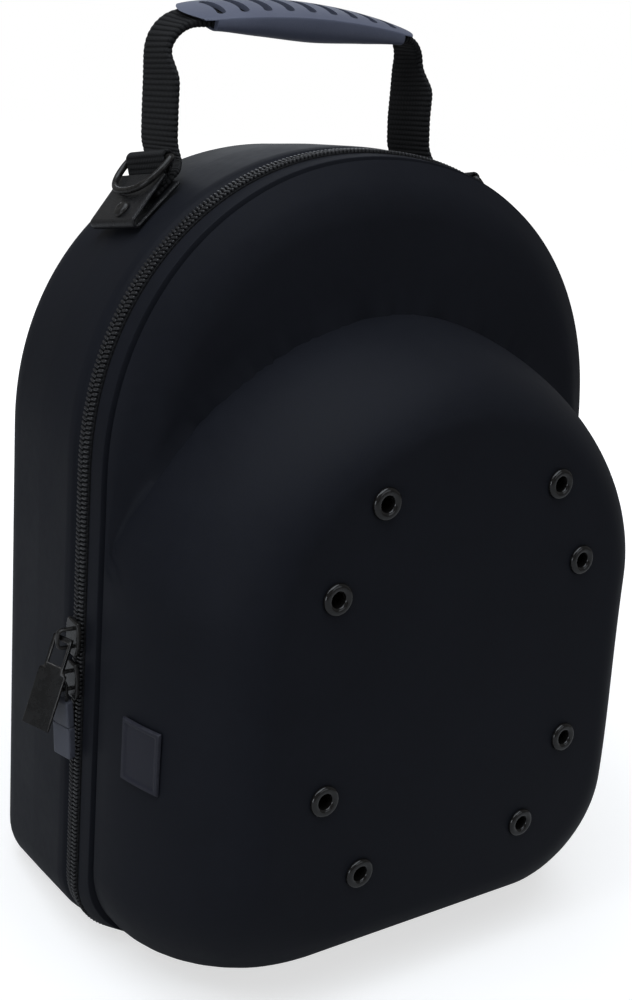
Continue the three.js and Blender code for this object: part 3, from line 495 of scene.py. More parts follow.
class FinishBook:
    """Materials of the carrier, one for each finish."""

    RIB_PITCH = 2.1
    WEAR_AND_GLINT_SCALE = 420.0
    YARN_SHADING_SHARE = 0.75
    SHEEN_ROUGHNESS = 0.4

    def __init__(self) -> None:
        """Starts with no material made."""
        self.effects = EffectBook()
        self.made: dict[str, bpy.types.Material] = {}

    def material(self, finish: Finish) -> bpy.types.Material:
        """Gives a finish's material, made at its first use.

        Args:
            finish: the finish to dress a piece in.

        Returns:
            The material.
        """
        if finish.name not in self.made:
            self.made[finish.name] = self._mix(finish)
        return self.made[finish.name]

    def _effect(self, nodes: NodeTree, tree: ShaderTree, **values: object) -> bpy.types.Node:
        """Places a shared effect in a material.

        Args:
            nodes: the material's tree.
            tree: the effect's group.
            values: the group's inputs, with spaces of their names as underscores.

        Returns:
            The group's node.
        """
        node = nodes.add("ShaderNodeGroup", node_tree=tree)
        for name, value in values.items():
            nodes.feed(node.inputs[name.replace("_", " ")], value)
        return node

    def _relief(self, nodes: NodeTree, finish: Finish, spot: Socket) -> tuple:
        """Lays the finish's fine relief.

        Args:
            nodes: the material's tree.
            finish: the finish.
            spot: the place on the piece.

        Returns:
            The relief's height, and the thread mask of a cloth or None.
        """
        if finish.relief is Relief.RIBBED:
            chart = nodes.add("ShaderNodeUVMap", uv_map=UV_LAYER).outputs[0]
            weave = self._effect(
                nodes,
                self.effects.ribbed_weave(),
                Vector=chart,
                Rib_Pitch=self.RIB_PITCH,
                Yarn_Pitch=finish.yarn_pitch,
            )
            return weave.outputs["Height"], weave.outputs["Yarn Shading"]
        tree = self.effects.skin_grain()
        if finish.relief is Relief.PEBBLE:
            tree = self.effects.leather_grain()
        grain = self._effect(nodes, tree, Vector=spot, Scale=finish.relief_scale)
        return grain.outputs["Height"], None

    def _mix(self, finish: Finish) -> bpy.types.Material:
        """Builds a finish's material from the shared effects.

        Args:
            finish: the finish.

        Returns:
            The new material.
        """
        made = bpy.data.materials.new(finish.name)
        made.use_nodes = True
        made.node_tree.nodes.clear()
        nodes = NodeTree(made.node_tree)
        spot = nodes.add("ShaderNodeTexCoord").outputs["Object"]
        surface = nodes.add("ShaderNodeBsdfPrincipled")
        cloud = self._effect(nodes, self.effects.mottle(), Vector=spot, Scale=finish.mottle_scale).outputs[0]
        height, yarn_shading = self._relief(nodes, finish, spot)
        tone = cloud
        # On cloth the colour is painted paler on the raised yarns and darker in the hollows of the weave, a
        # painted light and shade from its relief.
        if yarn_shading is not None:
            base = nodes.math("MULTIPLY", cloud, 1.0 - self.YARN_SHADING_SHARE)
            tone = nodes.math("MULTIPLY_ADD", yarn_shading, self.YARN_SHADING_SHARE, base)
        colour = nodes.mixed(tone, (*finish.colour, 1.0), (*finish.second, 1.0))
        # Outer edges are painted paler: rubbed wear, and on the dark metal also a painted highlight along
        # the edges.
        if finish.wear_and_glint > 0.0:
            wear_and_glint = self.effects.edge_wear_and_glint()
            worn_and_glinting = self._effect(nodes, wear_and_glint, Vector=spot, Scale=self.WEAR_AND_GLINT_SCALE, Amount=finish.wear_and_glint)
            colour = nodes.mixed(worn_and_glinting.outputs[0], colour, (*finish.wear_and_glint_colour, 1.0))
        nodes.feed(surface.inputs["Base Color"], colour)
        nodes.feed(surface.inputs["Roughness"], nodes.ramp(cloud, 0.0, 1.0, finish.roughness))
        bump = nodes.add("ShaderNodeBump")
        bump.inputs["Strength"].default_value = 1.0
        bump.inputs["Distance"].default_value = finish.relief_depth
        nodes.feed(bump.inputs["Height"], height)
        nodes.feed(surface.inputs["Normal"], bump.outputs[0])
        plain = {
            "Specular IOR Level": finish.specular,
            "Coat Weight": finish.coat,
            "Coat Roughness": finish.coat_roughness,
            "Sheen Weight": finish.sheen,
            "Sheen Roughness": self.SHEEN_ROUGHNESS,
        }
        for name, value in plain.items():
            surface.inputs[name].default_value = value
        output = nodes.add("ShaderNodeOutputMaterial")
        nodes.feed(output.inputs["Surface"], surface.outputs[0])
        return made


def lerp(first: float, second: float, share: float) -> float:
    """The value a share of the way from the first to the second."""
    return first + (second - first) * share


def signed_power(value: float, power: float) -> float:
    """A number's size to a power, with its sign kept."""
    return math.copysign(abs(value) ** power, value)


def rounded_rise(distance: float, radius: float, power: float) -> float:
    """Rounded rise from 0 to 1 over a radius from an edge."""
    share = min(max(distance / radius, 0.0), 1.0)
    return (1.0 - (1.0 - share) ** power) ** (1.0 / power)


def smooth_share(value: float, end: float) -> float:
    """Smooth rise from 0 to 1 as a value goes from 0 to the end."""
    share = min(max(value / end, 0.0), 1.0)
    return share * share * (3.0 - 2.0 * share)


def spline(points: Sequence[Vector], steps: int) -> list[Vector]:
    """Smooth line through points.

    Args:
        points: places or other vectors to pass through.
        steps: pieces between two neighbours.

    Returns:
        The points of the line.
    """
    line: list[Vector] = []
    ends = [points[0], *points, points[-1]]
    for before, start, end, after in zip(ends, ends[1:], ends[2:], ends[3:]):
        for step in range(steps):
            t = step / steps
            bend = (2.0 * before - 5.0 * start + 4.0 * end - after) * (t * t)
            twist = (3.0 * start - before - 3.0 * end + after) * (t * t * t)
            line.append(0.5 * (2.0 * start + (end - before) * t + bend + twist))
    line.append(points[-1].copy())
    return line


def frame_of(x: Vector, y: Vector, z: Vector, origin: Vector) -> Matrix:
    """Matrix whose columns are three directions and a place."""
    made = Matrix((x, y, z)).transposed().to_4x4()
    made.translation = origin
    return made


def new_verts(made: dict) -> list[Vert]:
    """The points among what an operator made."""
    return [item for item in made["geom"] if isinstance(item, Vert)]


def mesh_data(name: str, mesh: Shape) -> bpy.types.Mesh:
    """Mesh data with a mesh's shape, which is freed."""
    data = bpy.data.meshes.new(name)
    mesh.to_mesh(data)
    mesh.free()
    return data


def linked(name: str, data: bpy.types.ID) -> bpy.types.Object:
    """New object of some data, in the scene."""
    made = bpy.data.objects.new(name, data)
    bpy.context.scene.collection.objects.link(made)
    return made


class RingLoft:
    """Skin drawn out of a circle, ring by ring, by extruding its last ring."""

    def __init__(self, ring: Sequence[Vector]) -> None:
        """Starts on a ring of points."""
        self.mesh = bmesh.new()
        made = bmesh.ops.create_circle(self.mesh, cap_ends=False, segments=len(ring), radius=1.0)
        start = made["verts"][0]
        self.ring = [start]
        before, here = None, start
        while len(self.ring) < len(ring):
            ahead = [edge.other_vert(here) for edge in here.link_edges]
            before, here = here, ahead[0] if ahead[0] is not before else ahead[1]
            self.ring.append(here)
        self.first = list(self.ring)
        self.chart: dict[Vert, tuple[float, float]] = {}
        self._settle(ring)

    @classmethod
    def through(cls, rings: Sequence[Sequence[Vector]]) -> "RingLoft":
        """Skin drawn through rings, open at both ends."""
        loft = cls(rings[0])
        for ring in rings[1:]:
            loft.draw(ring)
        return loft

    def _settle(self, ring: Sequence[Vector]) -> None:
        """Moves the last ring onto its points."""
        for vert, point in zip(self.ring, ring):
            vert.co = point

    def _edges(self, ring: Sequence[Vert]) -> list[bmesh.types.BMEdge]:
        """The edges round a ring."""
        return [self.mesh.edges.get((a, b)) for a, b in zip(ring, [*ring[1:], ring[0]])]

    def draw(self, ring: Sequence[Vector]) -> None:
        """Extrudes the last ring onto a new one."""
        made = bmesh.ops.extrude_edge_only(self.mesh, edges=self._edges(self.ring))
        fresh = set(new_verts(made))
        self.ring = [
            next(edge.other_vert(vert) for edge in vert.link_edges if edge.other_vert(vert) in fresh)
            for vert in self.ring
        ]
        self._settle(ring)

    def note(self, across: Sequence[float], along: float) -> None:
        """Notes the last ring's place on the cloth's map, in millimetres."""
        for vert, u in zip(self.ring, across):
            self.chart[vert] = (u, along)

    def cap(self) -> None:
        """Closes both ends with a face."""
        for ring in (self.first, self.ring):
            bmesh.ops.contextual_create(self.mesh, geom=[*ring, *self._edges(ring)])

    def cap_on(self, start: Vector, end: Vector) -> None:
        """Gathers both ends on a point each."""
        bmesh.ops.pointmerge(self.mesh, verts=self.ring, merge_co=end)
        bmesh.ops.pointmerge(self.mesh, verts=self.first, merge_co=start)

    def join_ends(self) -> None:
        """Bridges the last ring to the first."""
        bmesh.ops.bridge_loops(self.mesh, edges=[*self._edges(self.first), *self._edges(self.ring)])

    def chart_cloth(self) -> None:
        """Writes the noted places to the cloth's map."""
        layer = self.mesh.loops.layers.uv.new(UV_LAYER)
        for face in self.mesh.faces:
            for loop in face.loops:
                loop[layer].uv = self.chart.get(loop.vert, (0.0, 0.0))


@dataclass
class Workshop:
    """Turns finished meshes into pieces of the model."""

    finishes: FinishBook = field(default_factory=FinishBook)

    def add(
        self,
        name: str,
        mesh: Shape,
        finish: Finish,
        nodes: Sequence[str],
        body: Body = Body.CASE,
        sharp_deg: float = SHARP_DEG,
    ) -> bpy.types.Object:
        """Makes a piece of a mesh in millimetres, and frees the mesh.

        Args:
            name: the piece's name.
            mesh: its mesh, in millimetres about the zip plane.
            finish: its finish.
            nodes: the CAD nodes that it stands for.
            body: the body that it rides on.
            sharp_deg: angle above which an edge stays sharp.

        Returns:
            The piece.
        """
        bmesh.ops.recalc_face_normals(mesh, faces=mesh.faces)
        self._mark_rims(mesh)
        mesh.transform(TO_FRAME)
        return self.place(name, mesh_data(name, mesh), finish, nodes, body, sharp_deg)

    def place(
        self,
        name: str,
        data: bpy.types.Mesh,
        finish: Finish,
        nodes: Sequence[str],
        body: Body = Body.CASE,
        sharp_deg: float = SHARP_DEG,
    ) -> bpy.types.Object:
        """Makes a piece of mesh data that is already in the frame.

        Args:
            name: the piece's name.
            data: its mesh data.
            finish: its finish.
            nodes: the CAD nodes that it stands for.
            body: the body that it rides on.
            sharp_deg: angle above which an edge stays sharp.

        Returns:
            The piece.
        """
        data.shade_smooth()
        data.set_sharp_from_angle(angle=math.radians(sharp_deg))
        data.materials.clear()
        data.materials.append(self.finishes.material(finish))
        piece = linked(name, data)
        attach(piece, body.value)
        if nodes:
            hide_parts(*nodes)
        LOG.info("%s: %d faces", name, len(data.polygons))
        return piece

    @staticmethod
    def _mark_rims(mesh: Shape) -> None:
        """Marks how far each point lies on an outer edge, for edge wear and for painted edge highlights."""
        layer = mesh.verts.layers.float.new(RIM_LAYER)
        for edge in mesh.edges:
            bend = edge.calc_face_angle_signed(0.0)
            if bend > 0.0:
                for vert in edge.verts:
                    vert[layer] = max(vert[layer], min(bend / FULL_WEAR_AND_GLINT_BEND, 1.0))

    @staticmethod
    def cut(body: Shape, tool: Shape, overlapping: bool = False) -> bpy.types.Mesh:
        """Takes a tool's volume out of a body, both in millimetres.

        Args:
            body: mesh to cut, freed afterwards.
            tool: mesh of the volume to take out, freed afterwards.
            overlapping: whether the tool's parts overlap each other.

        Returns:
            The cut mesh, in metres in the frame.
        """
        held = []
        for mesh in (body, tool):
            bmesh.ops.recalc_face_normals(mesh, faces=mesh.faces)
            mesh.transform(TO_FRAME)
            held.append(linked("blank", mesh_data("blank", mesh)))
        bite = held[0].modifiers.new("bite", "BOOLEAN")
        bite.operation = "DIFFERENCE"
        bite.solver = "EXACT"
        bite.use_self = overlapping
        bite.object = held[1]
        graph = bpy.context.evaluated_depsgraph_get()
        result = bpy.data.meshes.new_from_object(held[0].evaluated_get(graph))
        for blank in held:
            data = blank.data
            bpy.data.objects.remove(blank)
            bpy.data.meshes.remove(data)
        return result


def joined(target: Shape, other: Shape) -> None:
    """Takes another mesh's parts into a mesh, and frees the other."""
    scratch = mesh_data("scratch", other)
    target.from_mesh(scratch)
    bpy.data.meshes.remove(scratch)


def bevelled(mesh: Shape, width: float, segments: int, least_deg: float = 40.0) -> None:
    """Rounds a mesh's sharp edges, and frames its wide faces so that the paler edges, from wear and from
    painted edge highlights, stay at their edges.

    Args:
        mesh: the mesh.
        width: how far the rounding reaches, in millimetres.
        segments: faces across the rounding.
        least_deg: least angle of an edge that is rounded.
    """
    least = math.radians(least_deg)
    edges = [edge for edge in mesh.edges if edge.calc_face_angle(0.0) > least]
    bmesh.ops.bevel(
        mesh,
        geom=edges,
        offset=width,
        offset_type="OFFSET",
        segments=segments,
        profile=0.5,
        affect="EDGES",
        material=-1,
        clamp_overlap=True,
    )
    wide = [face for face in mesh.faces if face.calc_area() > WIDE_FACE * width**2]
    bmesh.ops.inset_individual(mesh, faces=wide, thickness=width * INSET_SHARE, use_even_offset=True)


def thicken(mesh: Shape, faces: Sequence[bmesh.types.BMFace], depth: float) -> None:
    """Extrudes flat faces along z."""
    made = bmesh.ops.extrude_face_region(mesh, geom=faces)
    bmesh.ops.translate(mesh, verts=new_verts(made), vec=(0.0, 0.0, depth))


def mirrored(side: Sequence[tuple[float, float]]) -> list[tuple[float, float]]:
    """Outline of a plate from the points of its right side."""
    return [*side, *[(-x, y) for x, y in reversed(side)]]


def slab(points: Sequence[tuple[float, float]], depth: float) -> Shape:
    """Flat plate with an outline in its x and y, halved about z 0.

    Args:
        points: corners of the outline.
        depth: the plate's thickness.

    Returns:
        The plate's mesh.
    """
    mesh = bmesh.new()
    verts = [mesh.verts.new((x, y, -depth / 2.0)) for x, y in points]
    made = bmesh.ops.contextual_create(mesh, geom=verts)
    thicken(mesh, made["faces"], depth)
    return mesh


def lathe(profile: Sequence[tuple[float, float]], steps: int) -> Shape:
    """Body of revolution about the y axis.

    Args:
        profile: radius and height of its outline's points, closed on itself.
        steps: faces round the axis.

    Returns:
        The body's mesh.
    """
    mesh = bmesh.new()
    verts = [mesh.verts.new((radius, height, 0.0)) for radius, height in profile]
    edges = [mesh.edges.new(pair) for pair in zip(verts, [*verts[1:], verts[0]])]
    bmesh.ops.spin(
        mesh,
        geom=[*verts, *edges],
        axis=(0.0, 1.0, 0.0),
        cent=(0.0, 0.0, 0.0),
        angle=2.0 * math.pi,
        steps=steps,
        use_merge=True,
    )
    bmesh.ops.remove_doubles(mesh, verts=mesh.verts, dist=MERGE_DISTANCE)
    return mesh


def wire_ring(path: Sequence[Vector], radius: float, sides: int, off: Vector) -> Shape:
    """Round wire bent along a closed path.

    Args:
        path: points of the path.
        radius: half of the wire's thickness.
        sides: faces round the wire.
        off: direction off the path's plane.

    Returns:
        The wire's mesh.
    """
    rings = []
    for i, point in enumerate(path):
        along = (path[(i + 1) % len(path)] - path[i - 1]).normalized()
        across = along.cross(off).normalized()
        turns = [2.0 * math.pi * k / sides for k in range(sides)]
        rings.append([point + radius * (off * math.cos(t) + across * math.sin(t)) for t in turns])
    loft = RingLoft.through(rings)
    loft.join_ends()
    return loft.mesh


def band_section(width: float, thickness: float, columns: int) -> list[tuple[float, float]]:
    """Section of a flat band with rounded edges, as places across and through it.

    Args:
        width: the band's width.
        thickness: the band's thickness.
        columns: pieces across each face.

    Returns:
        The section's points, in order round it.
    """
    round_off = thickness / 2.0
    flat = width / 2.0 - round_off
    face = [(lerp(flat, -flat, i / columns), round_off) for i in range(columns + 1)]
    edge = [math.pi / 2.0 + math.pi * k / 4.0 for k in (1, 2, 3)]
    left = [(-flat + round_off * math.cos(t), round_off * math.sin(t)) for t in edge]
    return [*face, *left, *[(-a, -t) for a, t in face], *[(-a, -t) for a, t in left]]


@dataclass
class Station:
    """One place along a band: its middle, its width's direction, its width and its thickness."""

    centre: Vector
    across: Vector
    width: float
    thickness: float
    along: float = 0.0


def band(stations: Sequence[Station], columns: int = 10) -> Shape:
    """Flat band carried along stations, with a map of its cloth.

    Args:
        stations: the places along it.
        columns: pieces across each face.

    Returns:
        The band's mesh.
    """
    loft = None
    for i, station in enumerate(stations):
        before = stations[max(i - 1, 0)].centre
        after = stations[min(i + 1, len(stations) - 1)].centre
        along = (after - before).normalized()
        across = station.across.normalized()
        thick = along.cross(across).normalized()
        section = band_section(station.width, station.thickness, columns)
        ring = [station.centre + across * a + thick * t for a, t in section]
        if loft is None:
            loft = RingLoft(ring)
        else:
            loft.draw(ring)
        loft.note([a for a, _ in section], station.along)
    loft.cap()
    loft.chart_cloth()
    return loft.mesh


def measured(stations: Sequence[Station]) -> list[Station]:
    """Stations with their distance along the band filled in."""
    run = 0.0
    result = []
    for before, station in zip([stations[0], *stations], stations):
        run += (station.centre - before.centre).length
        result.append(replace(station, along=run))
    return result


@dataclass(frozen=True)
class Row:
    """One line of the case's stack: inset from the zip's outline, depth, foot height and corner."""

    inset: float
    y: float
    foot: float
    corner: float

    def mixed(self, other: "Row", share: float) -> "Row":
        """The line a share of the way to another."""
        return Row(
            lerp(self.inset, other.inset, share),
            lerp(self.y, other.y, share),
            lerp(self.foot, other.foot, share),
            lerp(self.corner, other.corner, share),
        )

    def apart(self, other: "Row") -> float:
        """Distance to another line, seen in section."""
        return math.hypot(self.inset - other.inset, self.y - other.y)


def softened(rows: Sequence[Row], radius: float, steps: int = 4, most: float = 0.5) -> list[Row]:
    """Stack of lines with each inner corner drawn as a short curve.

    Args:
        rows: the lines.
        radius: how far the curves reach.
        steps: pieces of each curve.
        most: greatest share of a stretch that a curve takes.

    Returns:
        The longer stack.
    """
    result = [rows[0]]
    for before, row, after in zip(rows, rows[1:], rows[2:]):
        start = row.mixed(before, min(radius / max(row.apart(before), LEAST_STRETCH), most))
        end = row.mixed(after, min(radius / max(row.apart(after), LEAST_STRETCH), most))
        for step in range(steps + 1):
            share = step / steps
            result.append(start.mixed(row, share).mixed(row.mixed(end, share), share))
    result.append(rows[-1])
    return result


@dataclass(frozen=True)
class Tombstone:
    """Outline of the case seen from the front: flat foot, rounded corners and an arched top."""

    width: float = 235.0
    height: float = 315.0
    corner: float = 30.0
    least_corner: float = 10.0
    arch_power: float = 2.12
    floor_steps: int = 24
    corner_steps: int = 14
    side_steps: int = 30
    arch_steps: int = 56

    @property
    def half(self) -> float:
        """Half of the width."""
        return self.width / 2.0

    @property
    def arch_z(self) -> float:
        """Height at which the arch starts."""
        return self.height - self.half

    def line(self, row: Row) -> list[Vector]:
        """Points of one line of the stack, anticlockwise seen from the front.

        Args:
            row: the line's inset, depth, foot and corner.

        Returns:
            The points, from the middle of the floor.
        """
        half = self.half - row.inset
        corner = max(row.corner, self.least_corner)
        right = [((half - corner) * i / self.floor_steps, row.foot) for i in range(self.floor_steps)]
        for i in range(self.corner_steps):
            turn = math.pi / 2.0 * i / self.corner_steps
            x = half - corner + corner * math.sin(turn)
            right.append((x, row.foot + corner - corner * math.cos(turn)))
        for i in range(self.side_steps):
            right.append((half, lerp(row.foot + corner, self.arch_z, i / self.side_steps)))
        for i in range(self.arch_steps + 1):
            turn = math.pi / 2.0 * i / self.arch_steps
            x = half * signed_power(max(math.cos(turn), 0.0), 2.0 / self.arch_power)
            right.append((x, self.arch_z + half * math.sin(turn) ** (2.0 / self.arch_power)))
        right[-1] = (0.0, right[-1][1])
        left = [(-x, z) for x, z in reversed(right[1:-1])]
        return [Vector((x, row.y, z)) for x, z in [*right, *left]]


CASE = Tombstone()
LIP = Row(2.6, -14.6, 0.0, 42.0)


@dataclass(frozen=True)
class FrontForm:
    """Form of the front shell: a shallow upper face behind a crown that a cap fills."""

    upper_depth: float = 2.3
    upper_radius: float = 20.0
    upper_power: float = 2.8
    swell: float = 3.0
    swell_length: float = 45.0
    crown_radius: float = 35.0
    crown_power: float = 1.75
    crown_spring: float = 157.0
    crown_rise: float = 100.0
    crown_arch: float = 1.82
    fillet: float = 15.0
    fade_in: float = 14.0
    face_depth: float = 62.7
    belly: float = 6.0
    belly_z: float = 62.0
    belly_spread: float = 70.0
    pole_z: float = 132.0

    def lip_distance(self, x: float, z: float) -> float:
        """Distance from the lip's outline, seen from the front."""
        half = CASE.half - LIP.inset
        across = abs(x)
        if z >= CASE.arch_z:
            power = CASE.arch_power
            above = (z - CASE.arch_z) / half
            return half * (1.0 - ((across / half) ** power + above**power) ** (1.0 / power))
        from_side = half - across
        uneven = abs(from_side - z)
        if uneven >= LIP.corner:
            return min(from_side, z)
        return (from_side + z + math.sqrt(2.0 * LIP.corner**2 - uneven**2)) / 2.0 - LIP.corner

    def crown_distance(self, x: float, z: float) -> float:
        """Distance from the crown's foot, below 0 on the upper face."""
        above = (z - self.crown_spring) / self.crown_rise
        if above <= 0.0:
            return self.lip_distance(x, z)
        half = CASE.half - LIP.inset
        power = self.crown_arch
        return half * (1.0 - ((abs(x) / half) ** power + above**power) ** (1.0 / power))

    def face(self, z: float) -> float:
        """Depth of the crown's face at a height."""
        return self.face_depth + self.belly * math.exp(-(((z - self.belly_z) / self.belly_spread) ** 2))

    def depth(self, x: float, z: float, shrink: float = 0.0) -> float:
        """Depth of the form in front of the lip.

        Args:
            x: place across.
            z: place above the floor.
            shrink: how far the form is drawn in, for the inner surface.

        Returns:
            The depth.
        """
        from_lip = max(self.lip_distance(x, z) - shrink, 0.0)
        swell = self.swell * (1.0 - math.exp(-from_lip / self.swell_length))
        upper = self.upper_depth * rounded_rise(from_lip, self.upper_radius, self.upper_power) + swell
        rise = rounded_rise(self.crown_distance(x, z) - shrink, self.crown_radius, self.crown_power)
        crown = self.face(z) * rise
        fillet = self.fillet * min(from_lip / self.fade_in, 1.0)
        return (upper + crown + math.hypot(upper - crown, fillet)) / 2.0

    def point(self, x: float, z: float) -> Vector:
        """Point of the outer surface."""
        return Vector((x, LIP.y - self.depth(x, z), z))

    def normal(self, x: float, z: float) -> Vector:
        """Outward direction of the outer surface."""
        along_x = self.point(x + SLOPE_STEP, z) - self.point(x - SLOPE_STEP, z)
        along_z = self.point(x, z + SLOPE_STEP) - self.point(x, z - SLOPE_STEP)
        return along_x.cross(along_z).normalized()

    def seat(self, x: float, z: float) -> Matrix:
        """Frame on the outer surface whose y axis leaves it."""
        turn = AXIS_Y.rotation_difference(self.normal(x, z))
        return Matrix.Translation(self.point(x, z)) @ turn.to_matrix().to_4x4()

    def wall_x(self, y: float, z: float) -> float:
        """Place of the left wall at a depth and height."""
        share = (LIP.y - y) / self.face(z)
        inward = self.crown_radius * (1.0 - (1.0 - share**self.crown_power) ** (1.0 / self.crown_power))
        return -(CASE.half - LIP.inset - inward)


FORM = FrontForm()


@dataclass
class Vents:
    """Vent eyelets through the front."""

    places: tuple[tuple[float, float], ...] = ((41.1, 201.4), (58.4, 169.1), (59.0, 93.9), (40.5, 59.8))
    flange: float = 6.0
    hole: float = 2.8
    barrel: float = 4.1
    rise: float = 1.5
    inside: float = 0.4
    drill_length: float = 27.0
    drill_sides: int = 32
    undercut: float = 0.2
    roll_power: float = 0.8
    roll_steps: int = 12
    sides: int = 40

    def seats(self) -> list[Matrix]:
        """Frames of the eyelets, in the order of their nodes."""
        return [FORM.seat(side.value * x, z) for x, z in self.places for side in Side]

    def drills(self) -> Shape:
        """Round bars that the shell is drilled with."""
        mesh = bmesh.new()
        stand = Matrix.Rotation(math.pi / 2.0, 4, "X")
        for seat in self.seats():
            bmesh.ops.create_cone(
                mesh,
                cap_ends=True,
                segments=self.drill_sides,
                radius1=self.barrel + GAP,
                radius2=self.barrel + GAP,
                depth=self.drill_length,
                matrix=seat @ stand,
            )
        return mesh

    def build(self, shop: Workshop) -> None:
        """Makes the eyelets: a rolled flange on a barrel that passes through the wall."""
        foot = -WALL - self.inside
        middle = (self.flange + self.hole) / 2.0
        roll = (self.flange - self.hole) / 2.0
        turns = [math.pi * k / self.roll_steps for k in range(self.roll_steps + 1)]
        heights = [GAP + self.rise * math.sin(t) ** self.roll_power for t in turns]
        crest = [(middle + roll * math.cos(t), height) for t, height in zip(turns, heights)]
        barrel = [(self.hole, foot), (self.barrel, foot), (self.barrel, GAP)]
        profile = [*barrel, (self.flange - self.undercut, GAP), *crest]
        for number, seat in enumerate(self.seats(), start=1):
            mesh = lathe(profile, self.sides)
            mesh.transform(seat)
            shop.add(f"vent_eyelet_{number}", mesh, POLISHED_RIM, [f"eyelet_{number}"])


@dataclass
class FrontShell:
    """Front half: bevelled edge, moulded groove, upper face and crown, hollow behind."""

    edge: tuple[Row, ...] = (
        Row(0.8, -4.8, 1.6, 29.0),
        Row(1.5, -12.2, 1.6, 36.0),
        Row(4.4, -12.7, 2.4, 39.5),
        Row(4.4, -13.9, 2.4, 39.5),
        Row(3.2, -14.3, 0.6, 41.4),
    )
    outer_rim: int = 8
    outer_crown: int = 46
    inner_rim: int = 3
    inner_crown: int = 16
    crowding: float = 2.0
    least_rim: float = 0.02
    inner_step: float = 1.0
    soft: float = 0.35
    tolerance: float = 0.001

    @staticmethod
    def _towards_pole(p: Vector, share: float) -> tuple[float, float]:
        """Place on the way from an edge point to the front's pole."""
        return p.x * (1.0 - share), lerp(p.z, FORM.pole_z, share)

    def _crown_start(self, p: Vector, shrink: float) -> float:
        """Share of the way to the pole at which the crown's wall starts."""
        low, high = 0.0, 1.0
        while high - low > self.tolerance:
            middle = (low + high) / 2.0
            if FORM.crown_distance(*self._towards_pole(p, middle)) > shrink:
                high = middle
            else:
                low = middle
        return max(high, self.least_rim)

    def _flat_rings(self, line: Sequence[Vector], rim: int, crown: int, shrink: float) -> list[list]:
        """Rings of places from an edge to the pole.

        Args:
            line: the edge's points.
            rim: rings as far as the crown's foot.
            crown: rings over the crown.
            shrink: how far the form is drawn in.

        Returns:
            The rings, each a list of places across and up.
        """
        starts = [self._crown_start(p, shrink) for p in line]
        rings = []
        for step in range(rim + crown):
            if step <= rim:
                shares = [start * step / rim for start in starts]
            else:
                rise = ((step - rim) / crown) ** self.crowding
                shares = [start + (1.0 - start) * rise for start in starts]
            rings.append([self._towards_pole(p, share) for p, share in zip(line, shares)])
        return rings

    def build(self, shop: Workshop, vents: Vents) -> None:
        """Makes the front shell and drills it for the eyelets."""
        mouth = Row(LIP.inset + WALL, self.edge[0].y, LIP.foot + WALL, LIP.corner - WALL)
        inner_line = CASE.line(mouth)
        back_y = self.edge[0].y - self.inner_step

        def inner_point(x: float, z: float) -> Vector:
            """Point of the inner surface."""
            return Vector((x, min(LIP.y - FORM.depth(x, z, WALL) + WALL, back_y), z))

        rings = []
        for flat in reversed(self._flat_rings(inner_line, self.inner_rim, self.inner_crown, WALL)):
            rings.append([inner_point(x, z) for x, z in flat])
        rings.extend(CASE.line(row) for row in softened([mouth, *self.edge, LIP], self.soft))
        for flat in self._flat_rings(CASE.line(LIP), self.outer_rim, self.outer_crown, 0.0)[1:]:
            rings.append([FORM.point(x, z) for x, z in flat])
        loft = RingLoft.through(rings)
        loft.cap_on(inner_point(0.0, FORM.pole_z), FORM.point(0.0, FORM.pole_z))
        data = shop.cut(loft.mesh, vents.drills())
        shop.place("front_half", data, SHELL, ["front_shell"])


@dataclass
class RearShell:
    """Rear half: a deep tray with a rounded back."""

    wall: tuple[Row, ...] = (
        Row(1.4, 4.8, 1.6, 29.0),
        Row(-0.5, 7.4, 0.0, 30.0),
        Row(-1.0, 11.0, 0.0, 29.0),
        Row(-0.4, 39.0, 0.0, 23.0),
        Row(0.8, 63.0, 0.0, 17.0),
    )
    back_round: float = 30.0
    foot_round: float = 14.0
    swell: float = 1.5
    soft: float = 1.2
    round_steps: int = 16
    face_rings: int = 14
    wall_rings: int = 6

    def _rounding(self, start: Row, radius: float, foot: float) -> list[Row]:
        """Lines of the back's rounding, from the wall to the back face."""
        rows = []
        for step in range(1, self.round_steps + 1):
            turn = math.pi / 2.0 * step / self.round_steps
            eased = 1.0 - math.cos(turn)
            inset = start.inset + radius * eased
            y = start.y + radius * math.sin(turn)
            rows.append(Row(inset, y, lerp(start.foot, foot, eased), start.corner))
        return rows

    def _face(self, edge: Sequence[Vector], pole: Vector) -> list[list[Vector]]:
        """Rings over a back face, from its edge towards its pole."""
        rings = []
        for step in range(1, self.face_rings + 1):
            share = step / (self.face_rings + 1)
            eased = 1.0 - (1.0 - share) ** 2
            depths = [lerp(p.y, pole.y, eased) for p in edge]
            places = [p.lerp(pole, share) for p in edge]
            rings.append([Vector((place.x, y, place.z)) for place, y in zip(places, depths)])
        return rings

    def build(self, shop: Workshop) -> None:
        """Makes the rear shell."""
        mouth, end = self.wall[0], self.wall[-1]
        pole_z = CASE.arch_z - self.back_round
        outer_pole = Vector((0.0, end.y + self.back_round + self.swell, pole_z))
        inner_pole = Vector((0.0, end.y + self.back_round - WALL, pole_z))
        rows = [*softened(self.wall, self.soft), *self._rounding(end, self.back_round, self.foot_round)]
        outer = [CASE.line(row) for row in rows]
        outer.extend(self._face(outer[-1], outer_pole))
        inner_mouth = Row(mouth.inset + WALL, mouth.y, WALL, mouth.corner - WALL)
        inner_end = Row(end.inset + WALL, end.y, WALL, end.corner - WALL)
        inner_rows = [inner_mouth.mixed(inner_end, i / self.wall_rings) for i in range(self.wall_rings + 1)]
        inner_rows.extend(self._rounding(inner_end, self.back_round - WALL, self.foot_round))
        inner = [CASE.line(row) for row in inner_rows]
        inner.extend(self._face(inner[-1], inner_pole))
        rings = [*reversed(outer), *inner]
        loft = RingLoft.through(rings)
        loft.cap_on(outer_pole, inner_pole)
        shop.add("rear_half", loft.mesh, SHELL, ["rear_shell"])


